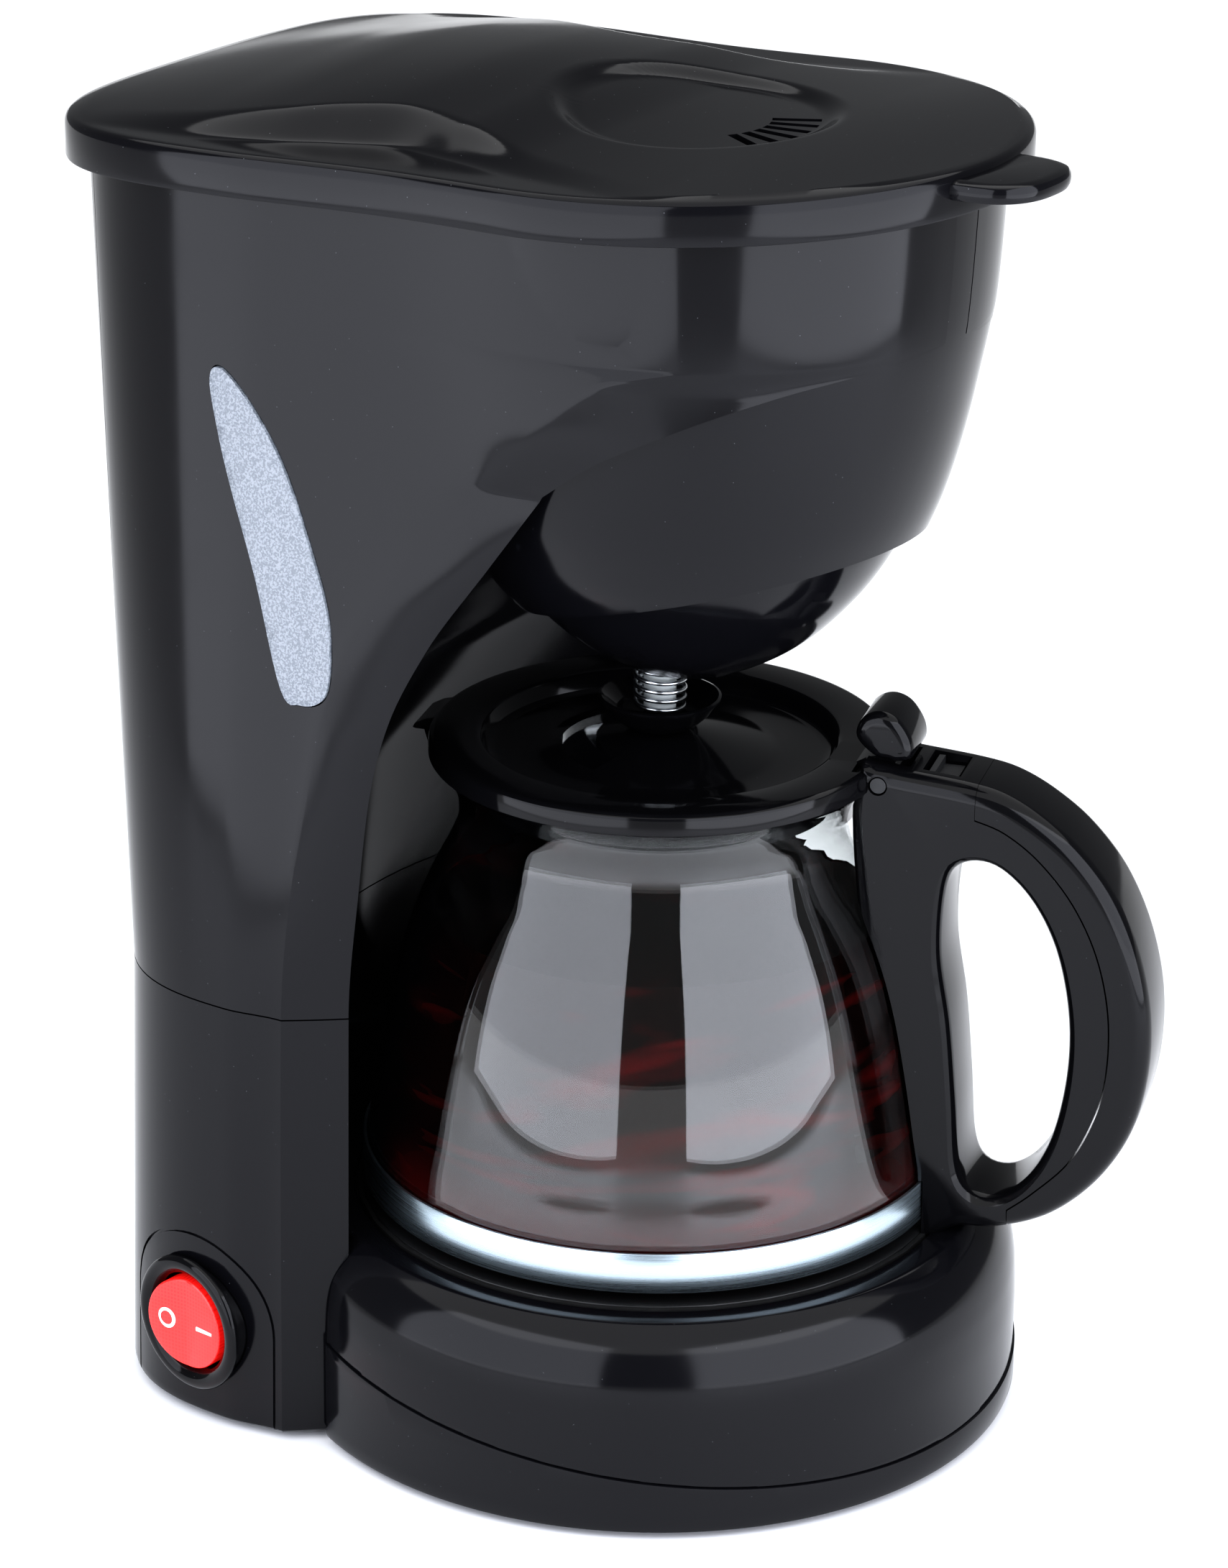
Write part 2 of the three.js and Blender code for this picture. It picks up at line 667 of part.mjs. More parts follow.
function dripSpring() {
  const low = dishBottom + 3.6 + gap + springWire;
  const high = bowlBottom - gap - springWire;
  return barOn(new Helix(springRadius, low, high, springTurns), springWire, springTurns * 8, 5);
}

// ---------- top lid ----------
const ridgeAt = [[-70, 0], [-40, 1.6], [-20, 2.2], [0, 3.6], [20, 7.2], [40, 9.6], [60, 9.2], [80, 6.4], [100, 3], [116, 0]];
const domeEdgeAt = [[-45, 62], [-15, 54], [0, 51], [19, 45.5], [33, 43], [45, 46], [57, 50.5], [75, 54.5], [120, 56]];
const stepShareAt = [[-30, 0], [0, 0.35], [20, 0.6], [45, 0.55], [70, 0.3], [100, 0]];
const recessRadius = 28.6;
const recessFloor = 23.5; // radius of the recess's flat floor
const recessY = -6.5;
const recessDepth = 1.8;
const slotCount = 6;
const slotSpread = 12; // degrees between steam slots
const lidEdge = 4; // flat top of the skirt above the housing's rim

function rimHalf(offset) {
  const half = [];
  const a0 = headTopRadius + offset;
  const b0 = headTopRadius * headStretch + offset;
  for (let i = 0; i <= 8; i += 1) {
    const a = rad(-90 + 12 * i);
    half.push([a0 * Math.cos(a), headCentre + b0 * Math.sin(a)]);
  }
  return [...half, ...towerHalf(rimHeight, -offset).slice(1)];
}

// rise of the lid's upper face above the housing's rim plane
function lidRise(x, y) {
  const edge = between(domeEdgeAt, y);
  const share = between(stepShareAt, y);
  const u = Math.min(1, Math.abs(x) / edge);
  const inside = smooth(0, 5, edge - Math.abs(x));
  const crown = share * inside + (1 - share) * (1 - u * u);
  const fromRecess = Math.hypot(x, y - recessY);
  const recess = recessDepth * (1 - smooth(recessFloor, recessRadius, fromRecess));
  return lidEdge + between(ridgeAt, y) * crown - recess;
}

// a closed sheet: out along the underside, round the skirt and back over the top
function topLid() {
  const outer = lidOverhang;
  const inner = lidOverhang - lidWall;
  const shares = [0, 0.35, 0.6, 0.8, 0.93];
  const under = shares.map((s) => [s, inner, (x, y) => lidRise(x, y) - lidWall]);
  const over = [...shares].reverse().map((s) => [s, outer - 1, (x, y) => lidRise(x, y)]);
  const flat = (h) => () => h;
  const skirt = [[1, inner, flat(lidEdge - lidWall)], [1, inner, flat(lidEdge - skirtDepth)],
    [1, outer, flat(lidEdge - skirtDepth)], [1, outer, flat(lidEdge - 0.8)], [1, outer - 0.8, flat(lidEdge)]];
  const profile = [...under, ...skirt, ...over];
  const columns = rimHalf(0).length;
  const place = (j, [share, offset, height], side) => {
    const [px, py] = rimHalf(offset)[j];
    const middle = THREE.MathUtils.clamp(py, headCentre, 60);
    const [x, y] = [px * share, middle + (py - middle) * share];
    return [side * x, y, rimHeight - rimTan * y + height(x, y)];
  };
  const rings = [];
  for (let j = 0; j < columns; j += 1) rings.push(profile.map((p) => place(j, p, 1)));
  for (let j = columns - 2; j > 0; j -= 1) rings.push(profile.map((p) => place(j, p, -1)));
  const position = rings.flat(2);
  const index = [];
  const n = profile.length;
  rings.forEach((_, j) => {
    const next = (j + 1) % rings.length;
    for (let k = 0; k + 1 < n; k += 1) {
      const [a, b, c, d] = [j * n + k, next * n + k, next * n + k + 1, j * n + k + 1];
      index.push(a, b, c, a, c, d);
    }
  });
  const geometry = new THREE.BufferGeometry();
  geometry.setAttribute('position', new THREE.Float32BufferAttribute(position, 3));
  geometry.setIndex(index);
  return cut(joined(geometry, thumbTab(), ...[-1, 1].map((side) => hingeEar(side))), ...steamSlots(), ...earBores());
}

function thumbTab() {
  const root = headCentre - headTopRadius * headStretch - lidOverhang + 2;
  const shape = new THREE.Shape();
  shape.moveTo(-13, root + 0.6);
  shape.lineTo(13, root + 0.6);
  shape.bezierCurveTo(11, root - tabLength * 0.5, 8.5, root - tabLength - 2, 0, root - tabLength - 2);
  shape.bezierCurveTo(-8.5, root - tabLength - 2, -11, root - tabLength * 0.5, -13, root + 0.6);
  const options = { depth: 2, bevelThickness: 1, bevelSize: 1, bevelSegments: 1, curveSegments: 6 };
  const tab = new THREE.ExtrudeGeometry(shape, options);
  return tab.rotateX(-rad(rimSlope)).translate(0, 0, rimHeight + lidEdge - 4.6);
}

function steamSlots() {
  return [...Array(slotCount).keys()].map((i) => {
    const slot = box(recessFloor - 9.5, recessFloor - 0.5, -0.9, 0.9, rimHeight - 4, rimHeight + 30);
    return slot.rotateZ(rad(-90 + slotSpread * (i - (slotCount - 1) / 2))).translate(0, recessY, 0);
  });
}

// ---------- lid hinge ----------
const hingeY = towerTopRear - 0.6 + 3.6;
const hingeZ = rimHeight - rimTan * 111 - 7.8;
const lugFrom = 20;
const lugTo = 28;
const earTo = 31.5;

function crossBar(x0, x1, radius, sides = 12) {
  const geometry = disc(radius, x0, x1, sides);
  return geometry.rotateY(Math.PI / 2).translate(0, hingeY, hingeZ);
}

function hingeLug(side) {
  const [x0, x1] = [side * lugFrom, side * lugTo].sort((a, b) => a - b);
  const lug = joined(crossBar(x0, x1, 2.5), box(x0, x1, hingeY - 5.6, hingeY, hingeZ - 2.4, hingeZ + 1));
  return cut(lug, crossBar(x0 - 1, x1 + 1, 1.2 + gap));
}

function hingeEar(side) {
  const [x0, x1] = [side * (lugTo + gap), side * earTo].sort((a, b) => a - b);
  return joined(crossBar(x0, x1, 2.5), box(x0, x1, hingeY - 1, hingeY + 1.6, hingeZ, hingeZ + 5));
}

function earBores() {
  return [-1, 1].map((side) => {
    const [x0, x1] = [side * lugTo, side * (earTo + 1)].sort((a, b) => a - b);
    return crossBar(x0, x1, 1.2 + gap);
  });
}

function hingePin(side) {
  const [x0, x1] = [side * (lugFrom - 0.6), side * (earTo + 0.6)].sort((a, b) => a - b);
  return crossBar(x0, x1, 1.2);
}

// ---------- glass jug, made with its handle towards -Y ----------
const jugSide = [[50, 0], [54.6, 1.2], [57, 4.2], [57.9, 9], [56.2, 22], [54.4, 33], [51.8, 46],
  [48.6, 57], [44.4, 67], [39.2, 79], [39.2, 84], [41.4, 88.4], [43.4, 91.7]];
const spoutReach = 5.6;

// r and z along the glass wall, moved outwards by a margin
function glassLine(margin) {
  return jugSide.map(([r, h]) => [r + margin, glassBottom + h]);
}

function withSpout(geometry) {
  const p = geometry.attributes.position;
  for (let i = 0; i < p.count; i += 1) {
    const [x, y, z] = [p.getX(i), p.getY(i), p.getZ(i)];
    const r = Math.hypot(x, y);
    if (r < 1) continue;
    const turn = Math.abs(Math.atan2(x, y));
    const pull = Math.max(0, 1 - turn / 0.5) ** 1.6 * smooth(glassBottom + 77, glassBottom + 92, z);
    const longer = 1 + (spoutReach * pull) / r;
    p.setXYZ(i, x * longer, y * longer, z + 1.2 * pull);
  }
  return geometry;
}

function jugGlass() {
  const outer = glassLine(0);
  const inner = glassLine(-glassWall).slice(1).map(([r, z], i) => [r, z + (i < 2 ? 1.4 : 0)]);
  const rim = glassBottom + 91.7;
  const profile = [[0, glassBottom], ...outer, [inner[inner.length - 1][0], rim], ...inner.slice(0, -1).reverse(),
    [48, glassBottom + glassWall], [0, glassBottom + glassWall]];
  return withSpout(turned(profile));
}

function glassRoom(margin) {
  const outer = glassLine(margin);
  return turned([[0, glassBottom - 2], [outer[0][0], glassBottom - 2], ...outer, [outer[outer.length - 1][0], 150], [0, 150]]);
}

// the upper part of the glass wall, grown by a margin on every side
function neckRoom(margin) {
  const line = jugSide.slice(-5);
  const outer = line.map(([r, h]) => [r + margin, glassBottom + h]);
  const inner = line.map(([r, h]) => [r - glassWall - margin, glassBottom + h]);
  const rim = glassBottom + jugSide[jugSide.length - 1][1] + margin;
  const profile = [...outer, [outer[4][0], rim], [inner[4][0], rim], ...inner.reverse(), outer[0]];
  return withSpout(turned(profile));
}

function jugBand() {
  const inner = glassRadius + gap;
  return ring(inner, inner + 0.7, bandBottom, bandBottom + bandHeight, ringSides);
}

const bandRadius = glassRadius + gap + 0.7;

// stands a flat outline of [reach, height] points across the jug's handle plane, width wide
function across(points, width, bevel = 0) {
  const shape = new THREE.Shape(points.map(([r, z]) => new THREE.Vector2(r, z)));
  const options = { depth: width - 2 * bevel, bevelEnabled: bevel > 0, bevelSize: bevel, bevelOffset: -bevel,
    bevelThickness: bevel, bevelSegments: 2 };
  const geometry = new THREE.ExtrudeGeometry(shape, options);
  const turn = new THREE.Matrix4().makeBasis(
    new THREE.Vector3(0, -1, 0), new THREE.Vector3(0, 0, 1), new THREE.Vector3(-1, 0, 0));
  return geometry.applyMatrix4(turn).translate(width / 2 - bevel, 0, 0);
}

const handleOutline = [[42, 118], [42, 139.6], [46, 141], [51, 140.4], [64, 139.2], [71.5, 137.6], [79, 133.8],
  [86.5, 128], [93.5, 119.4], [98.8, 108], [101.8, 95], [101.9, 82], [99.2, 69.5], [93.2, 58.6], [84.6, 50.2],
  [75, 45.8], [66, bandBottom - 1], [52, bandBottom - 1]];
const handleHole = [[60.5, 117], [63.5, 122.4], [70, 122.8], [77, 117], [82.5, 107], [85.6, 93.5], [85.8, 80],
  [83.4, 66.5], [79, 57.4], [73.4, 52.6], [68, 52.8], [65.2, 58], [64, 72], [62.4, 88], [60, 103]];
const gripMiddle = [76, 88];
const gripInside = [[66, 132.6], [72, 130.6], [79, 125.6], [86, 117.4], [91.2, 107], [94, 95], [94.2, 82.6],
  [92.2, 72.4], [87.6, 62.4], [80.6, 54.6], [75.6, 50.2]];

function gripPrism(margin) {
  const inside = gripInside.map(([r, z]) => {
    const [dr, dz] = [gripMiddle[0] - r, gripMiddle[1] - z];
    const far = Math.hypot(dr, dz);
    return [r + (dr / far) * margin, z + (dz / far) * margin];
  });
  const [top, low] = [gripInside[0], gripInside[gripInside.length - 1]].map(([r]) => r - margin);
  return across([[top, 150], [top, inside[0][1]], ...inside.slice(1, -1), [low, inside[inside.length - 1][1]],
    [low, 40], [120, 40], [120, 150]], 60);
}

function fullHandle() {
  return cut(across(handleOutline, handleWidth, 3), across(handleHole, handleWidth + 10));
}

const armHalf = 5.2;
const jugPin = [46.6, 137.2];

function jugHandle() {
  const bandRoom = disc(bandRadius + gap, bandBottom - 4, bandBottom + bandHeight + gap, ringSides);
  const armSlot = box(-armHalf - gap, armHalf + gap, -52, -30, 131.5, 150);
  const clipNotch = box(-armHalf - gap, armHalf + gap, -62, -54.5, 136.4, 150);
  const bore = pinBar(1.6 + gap, 30);
  return cut(fullHandle(), gripPrism(gap), glassRoom(0.5), bandRoom, armSlot, clipNotch, bore, bandScrewRoom());
}

function handleGrip() {
  return common(fullHandle(), gripPrism(0));
}

function pinBar(radius, length) {
  return disc(radius, -length / 2, length / 2, 16).rotateY(Math.PI / 2).translate(0, -jugPin[0], jugPin[1]);
}

const screwReach = 63;

function bandScrew() {
  const low = bandBottom - 0.8;
  return turned([[0, low], [2.6, low], [2.6, low + 1.6], [1.3, low + 1.6], [1.3, low + 9], [0, low + 9]], 12)
    .translate(0, -screwReach, 0);
}

function bandScrewRoom() {
  const low = bandBottom - 2;
  const top = bandBottom + 0.8;
  return turned([[0, low], [2.9, low], [2.9, top + gap], [1.6, top + gap], [1.6, top + 8], [0, top + 8]], 12)
    .translate(0, -screwReach, 0);
}

function lidClip() {
  const y = -58.2;
  return joined(box(-4.6, 4.6, y - 2.6, y + 2.6, 136.8, 137.8), box(-4.6, 4.6, y + 1.4, y + 2.6, 137.4, 139.6));
}

function jugLid() {
  const top = lidPlane + 4.4;
  const boss = dishBottom - gap;
  const cover = turned([[0, boss - 1.6], [6, boss - 1.6], [24, lidPlane - 1.4], [32.6, lidPlane - 1.2], [34.4, lidPlane + 0.4],
    [34.4, 128.6], [36, 128.6], [36, lidPlane + 0.4], [44.4, lidPlane + 1], [44.4, lidPlane], [45.6, lidPlane],
    [45.6, top - 0.9], [44.6, top], [35.4, top], [33.2, lidPlane + 0.8], [24, lidPlane + 0.6], [6, boss], [0, boss]],
  middleSides);
  const beak = across([[-38, lidPlane + 1.4], [-38, top], [-46, top - 0.4], [-49.4, lidPlane + 1.8], [-49, lidPlane + 1.4]], 12);
  const earRoom = box(-handleWidth / 2 - gap, handleWidth / 2 + gap, -60, -41.4, 120, 150);
  const arm = across([[35.6, lidPlane + 1.8], [40, 134.4], [jugPin[0], 133.6], [50.2, 137.2], [48.8, 140.2],
    [45.8, 141.6], [41, top], [35.6, top]], 2 * armHalf);
  const holes = [box(10, 24, 17, 22, 120, 150), box(-24, -10, 17, 22, 120, 150)];
  return cut(joined(cut(cover, earRoom, ...holes), beak, arm), pinBar(1.6 + gap, 30), neckRoom(gap));
}

function thumbLever() {
  const points = [[44.6, 142.2], [41.2, 145.6], [42.2, 149.4], [45.6, 151.2], [49.4, 150], [52.2, 146], [52.4, 142.4],
    [49.6, 141.2], [47.6, 141.6]];
  return across(points, 15, 2.4);
}

// ---------- assembly ----------
const colours = {
  glossBlack: [0x1b1c1f, 0.16, 0],
  satinBlack: [0x1a1b1d, 0.35, 0],
  softBlack: [0x202124, 0.6, 0],
  clear: [0xe6ecee, 0.05, 0],
  frosted: [0xb9c6d4, 0.4, 0],
  milky: [0xd8dbd8, 0.4, 0],
  red: [0xd4141c, 0.25, 0],
  aluminium: [0xc4ccd0, 0.3, 1],
  steel: [0xb8bbbe, 0.25, 1],
  nonStick: [0x17181a, 0.45, 0.2],
  silicone: [0xc9c6be, 0.6, 0],
};

function piece(name, geometry, colour) {
  const [hex, roughness, metalness] = colours[colour];
  const material = new THREE.MeshStandardMaterial({ color: hex, roughness, metalness });
  const mesh = new THREE.Mesh(weld(geometry), material);
  mesh.name = name;
  return mesh;
}

const machine = [
  piece('upper_housing', upperHousing(), 'glossBlack'),
  piece('lower_housing', lowerHousing(), 'glossBlack'),
  piece('rear_cover', rearCover(), 'glossBlack'),
  piece('drum_shell', drumShell(), 'glossBlack'),
  piece('base_ring', baseRing(), 'glossBlack'),
  piece('base_plate', basePlate(), 'satinBlack'),
  ...footPlaces.map((place, i) => piece(`foot_${footNames[i]}`, foot(place), 'softBlack')),
  ...screwPlaces.map((place, i) => piece(`base_screw_${i + 1}`, baseScrew(place), 'steel')),
  piece('hot_plate', hotPlate(), 'nonStick'),
  piece('plate_seal', plateSeal(), 'silicone'),
  piece('heater_tube', heater(), 'aluminium'),
  piece('thermostat', thermostat(), 'steel'),
  piece('thermal_fuse', thermalFuse(), 'milky'),
  piece('cold_hose', hose(-1, tankFloor - 13 - 2 * gap), 'silicone'),
  piece('hot_hose', hose(1, tankFloor - 4 - gap), 'silicone'),
  piece('check_valve', checkValve(), 'milky'),
  piece('water_tank', waterTank(), 'frosted'),
  piece('riser_tube', riserTube(), 'milky'),
  piece('spray_head', sprayHead(), 'satinBlack'),
  piece('water_window', waterWindow(), 'frosted'),
  piece('bowl', bowl(), 'glossBlack'),
  piece('filter_basket', filterBasket(), 'satinBlack'),
  piece('filter_mesh', filterMesh(), 'milky'),
  piece('filter_bail', filterBail(), 'satinBlack'),
  piece('drip_seal', dripSeal(), 'silicone'),
  piece('drip_stem', dripStem(), 'milky'),
  piece('drip_dish', dripDish(), 'softBlack'),
  piece('drip_spring', dripSpring(), 'steel'),
  piece('switch_bezel', switchBezel(), 'glossBlack'),
  piece('switch_rocker', switchRocker(), 'red'),
  piece('switch_body', switchBody(), 'softBlack'),
  piece('cord_gland', cordGland(), 'softBlack'),
  piece('top_lid', topLid(), 'glossBlack'),
  piece('lid_pin_left', hingePin(-1), 'steel'),
  piece('lid_pin_right', hingePin(1), 'steel'),
];

const jugPieces = [
  piece('jug_glass', jugGlass(), 'clear'),
  piece('jug_band', jugBand(), 'aluminium'),
  piece('jug_handle', jugHandle(), 'glossBlack'),
  piece('handle_grip', handleGrip(), 'glossBlack'),
  piece('band_screw', bandScrew(), 'steel'),
  piece('lid_clip', lidClip(), 'softBlack'),
  piece('jug_lid', jugLid(), 'glossBlack'),
  piece('thumb_lever', thumbLever(), 'glossBlack'),
  piece('jug_pin', pinBar(1.6, handleWidth - 0.8), 'softBlack'),
];

const jug = new THREE.Group();
jug.add(...jugPieces);
jug.rotation.z = rad(jugTurn);
jug.position.z = baseHeight - jugBase;

// the origin is the middle of the footprint's box, on the table
const group = new THREE.Group();
group.add(...machine, jug);
group.updateMatrixWorld(true);
const bounds = new THREE.Box3().setFromObject(group, true);
group.position.set(-(bounds.min.x + bounds.max.x) / 2, -(bounds.min.y + bounds.max.y) / 2, -bounds.min.z);

export default group;
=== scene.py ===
import math
import bpy
import bmesh
import numpy as np
from mathutils import Vector, Matrix


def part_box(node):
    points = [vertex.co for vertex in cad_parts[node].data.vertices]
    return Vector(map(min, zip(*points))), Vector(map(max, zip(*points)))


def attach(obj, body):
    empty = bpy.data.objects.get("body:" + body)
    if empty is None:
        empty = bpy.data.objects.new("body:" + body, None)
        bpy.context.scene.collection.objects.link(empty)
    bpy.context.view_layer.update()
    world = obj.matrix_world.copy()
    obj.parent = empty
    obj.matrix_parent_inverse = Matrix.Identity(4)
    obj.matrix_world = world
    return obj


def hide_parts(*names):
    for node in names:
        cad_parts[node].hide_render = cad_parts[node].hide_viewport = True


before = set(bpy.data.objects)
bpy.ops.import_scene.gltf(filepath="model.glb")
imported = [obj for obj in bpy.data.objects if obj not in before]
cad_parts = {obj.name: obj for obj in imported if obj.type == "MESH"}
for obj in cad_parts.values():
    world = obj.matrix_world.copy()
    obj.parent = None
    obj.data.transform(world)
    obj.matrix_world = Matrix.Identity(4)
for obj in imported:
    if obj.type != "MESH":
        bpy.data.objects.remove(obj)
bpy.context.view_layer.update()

print("frame loaded")

# every shape below is in millimetres about the hot plate's axis, as the machine is drawn;
# placed() turns that into metres in the frame
plateLow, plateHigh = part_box("hot_plate")
axisX = (plateLow.x + plateHigh.x) / 2
axisY = (plateLow.y + plateHigh.y) / 2
jugTurn = math.radians(18)


def placed(points):
    metres = np.asarray(points, float) * 0.001
    return metres + np.array([axisX, axisY, 0.0])


def smoothTable(table):
    # reads a table of (height, value) pairs as a smooth curve that never overshoots
    xs, ys = np.array(table, float).T
    h = np.diff(xs)
    d = np.diff(ys) / h
    m = np.zeros(len(xs))
    m[0], m[-1] = d[0], d[-1]
    for i in range(1, len(xs) - 1):
        if d[i - 1] * d[i] > 0:
            w1, w2 = 2 * h[i] + h[i - 1], h[i] + 2 * h[i - 1]
            m[i] = (w1 + w2) / (w1 / d[i - 1] + w2 / d[i])

    def read(x):
        x = np.clip(x, xs[0], xs[-1])
        i = np.clip(np.searchsorted(xs, x) - 1, 0, len(xs) - 2)
        t = (x - xs[i]) / h[i]
        return ((1 + 2 * t) * (1 - t) ** 2 * ys[i] + t * (1 - t) ** 2 * h[i] * m[i]
                + t * t * (3 - 2 * t) * ys[i + 1] - t * t * (1 - t) * h[i] * m[i + 1])
    return read


def smoothStep(a, b, v):
    t = np.clip((v - a) / (b - a), 0, 1)
    return t * t * (3 - 2 * t)


def rounded(points, perSpan=6, closed=False):
    # a soft curve through the points
    p = [np.array(q, float) for q in points]
    n = len(p)
    spans = n if closed else n - 1
    out = []
    for i in range(spans):
        if closed:
            a, b, c, d = p[(i - 1) % n], p[i], p[(i + 1) % n], p[(i + 2) % n]
        else:
            a, b, c, d = p[max(i - 1, 0)], p[i], p[i + 1], p[min(i + 2, n - 1)]
        for k in range(perSpan):
            t = k / perSpan
            out.append(0.5 * (2 * b + (c - a) * t + (2 * a - 5 * b + 4 * c - d) * t ** 2
                              + (3 * b - a - 3 * c + d) * t ** 3))
    if not closed:
        out.append(p[-1])
    return [tuple(q) for q in out]


def solid(name, points, faces):
    mesh = bpy.data.meshes.new(name)
    mesh.from_pydata([tuple(q) for q in placed(points)], [], faces)
    obj = bpy.data.objects.new(name, mesh)
    bpy.context.scene.collection.objects.link(obj)
    bm = bmesh.new()
    bm.from_mesh(mesh)
    bmesh.ops.remove_doubles(bm, verts=bm.verts, dist=2e-7)
    bmesh.ops.dissolve_degenerate(bm, edges=bm.edges, dist=2e-7)
    bmesh.ops.recalc_face_normals(bm, faces=bm.faces)
    bm.to_mesh(mesh)
    bm.free()
    return obj


def turned(name, profile, sides=128, stretch=1.0, centreY=0.0):
    # a round solid from (radius, height) pairs that start and end on the axis, or close on themselves
    angles = [2 * math.pi * i / sides for i in range(sides)]
    rings = [[(r * math.cos(a), centreY + stretch * r * math.sin(a), z) for a in angles] for r, z in profile]
    return stacked(name, rings, ends=False)


def rod(name, radius, low, high, sides):
    return turned(name, [(0, low), (radius, low), (radius, high), (0, high)], sides)


def washer(name, inner, outer, low, high):
    return turned(name, [(inner, low), (outer, low), (outer, high), (inner, high), (inner, low)], 48)


def stacked(name, rings, ends=True):
    # skin over outlines of equal length, closed by flat ends
    n = len(rings[0])
    points = [q for ring in rings for q in ring]
    faces = [(k * n + i, k * n + (i + 1) % n, (k + 1) * n + (i + 1) % n, (k + 1) * n + i)
             for k in range(len(rings) - 1) for i in range(n)]
    if ends:
        faces.append(tuple(range(n - 1, -1, -1)))
        faces.append(tuple((len(rings) - 1) * n + i for i in range(n)))
    return solid(name, points, faces)


def upright(name, plan, low, high):
    # a flat outline of (x, y) points pushed upwards
    return stacked(name, [[(x, y, z) for x, y in plan] for z in (low, high)])


def sidePrism(name, points, x0, x1):
    # a flat outline of (y, z) points pushed sideways
    return stacked(name, [[(x, y, z) for y, z in points] for x in (x0, x1)])


def block(name, x0, x1, y0, y1, z0, z1):
    return upright(name, [(x0, y0), (x1, y0), (x1, y1), (x0, y1)], z0, z1)


def swung(plan, angle, centreY=0.0):
    c, s = math.cos(angle), math.sin(angle)
    return [(x * c - y * s, centreY + x * s + y * c) for x, y in plan]


def signedArea(ring):
    return 0.5 * sum(ring[i - 1][0] * ring[i][1] - ring[i][0] * ring[i - 1][1] for i in range(len(ring)))


def evenly(line, count=None, step=None):
    # the same line with evenly spaced points
    far = np.concatenate([[0], np.cumsum(np.hypot(*np.diff(line, axis=0).T))])
    even = np.linspace(0, far[-1], count or int(far[-1] / step) + 1)
    return np.stack([np.interp(even, far, line[:, 0]), np.interp(even, far, line[:, 1])], 1)


def spaced(ring, step):
    return evenly(np.array([*ring, ring[0]]), step=step)[:-1]


def merged(obj):
    dg = bpy.context.evaluated_depsgraph_get()
    mesh = bpy.data.meshes.new_from_object(obj.evaluated_get(dg), depsgraph=dg)
    obj.modifiers.clear()
    obj.data = mesh
    return obj


def combined(obj, others, how="DIFFERENCE"):
    for other in others:
        step = obj.modifiers.new("step", "BOOLEAN")
        step.operation = how
        step.solver = "MANIFOLD"
        step.object = other
    merged(obj)
    for other in others:
        bpy.data.objects.remove(other)
    return obj


def bevelled(obj, width, segments=3, angle=35):
    step = obj.modifiers.new("edge", "BEVEL")
    step.width = width * 0.001
    step.segments = segments
    step.limit_method = "ANGLE"
    step.angle_limit = math.radians(angle)
    step.harden_normals = False
    return merged(obj)


def moved(obj, matrix):
    centre = Matrix.Translation((axisX, axisY, 0))
    obj.data.transform(centre @ matrix @ centre.inverted())
    return obj


def shift(x, y, z):
    return Matrix.Translation((x * 0.001, y * 0.001, z * 0.001))


def dressed(mesh, material, angle):
    mesh.materials.clear()
    mesh.materials.append(material)
    for face in mesh.polygons:
        face.material_index = 0
    mesh.shade_smooth()
    mesh.set_sharp_from_angle(angle=math.radians(angle))


def finished(obj, body, material, replaces=(), angle=28):
    mesh = obj.data
    bm = bmesh.new()
    bm.from_mesh(mesh)
    bmesh.ops.remove_doubles(bm, verts=bm.verts, dist=2e-6)
    bmesh.ops.dissolve_degenerate(bm, edges=bm.edges, dist=1e-6)
    bm.to_mesh(mesh)
    bm.free()
    dressed(mesh, material, angle)
    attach(obj, body)
    if replaces:
        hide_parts(*replaces)
    return obj


def linear(hexValue):
    value = int(hexValue.lstrip("#"), 16)
    parts = [((value >> s) & 255) / 255 for s in (16, 8, 0)]
    return [c / 12.92 if c <= 0.04045 else ((c + 0.055) / 1.055) ** 2.4 for c in parts] + [1.0]


def addNode(tree, kind, settings=None, links=None):
    # settings are the node's own values or its inputs' values; links are {input: (node, output)}
    node = tree.nodes.new(kind)
    for key, value in (settings or {}).items():
        if isinstance(key, int) or key in node.inputs:
            node.inputs[key].default_value = value
        else:
            setattr(node, key, value)
    for key, (source, output) in (links or {}).items():
        tree.links.new(source.outputs[output], node.inputs[key])
    return node


def newMaterial(name, settings):
    material = bpy.data.materials.new(name)
    material.use_nodes = True
    tree = material.node_tree
    tree.nodes.clear()
    shader = addNode(tree, "ShaderNodeBsdfPrincipled", settings)
    addNode(tree, "ShaderNodeOutputMaterial", links={"Surface": (shader, "BSDF")})
    where = addNode(tree, "ShaderNodeTexCoord")
    return material, tree, shader, where


def linked(tree, source, output, target, socket):
    tree.links.new(source.outputs[output], target.inputs[socket])


def figured(tree, shader, pattern, output, colours, rough=None, relief=None):
    # one pattern drives the colour and, where given, the roughness range and the relief
    tone = addNode(tree, "ShaderNodeMix", {"data_type": "RGBA", 6: linear(colours[0]), 7: linear(colours[1])},
                   {"Factor": (pattern, output)})
    linked(tree, tone, 2, shader, "Base Color")
    if rough:
        spread = addNode(tree, "ShaderNodeMapRange", {"To Min": rough[0], "To Max": rough[1]},
                         {"Value": (pattern, output)})
        linked(tree, spread, "Result", shader, "Roughness")
    if relief:
        raised(tree, shader, pattern, output, *relief)


def raised(tree, shader, pattern, output, strength, depth):
    bump = addNode(tree, "ShaderNodeBump", {"Strength": strength, "Distance": depth * 0.001},
                   {"Height": (pattern, output)})
    linked(tree, bump, "Normal", shader, "Normal")


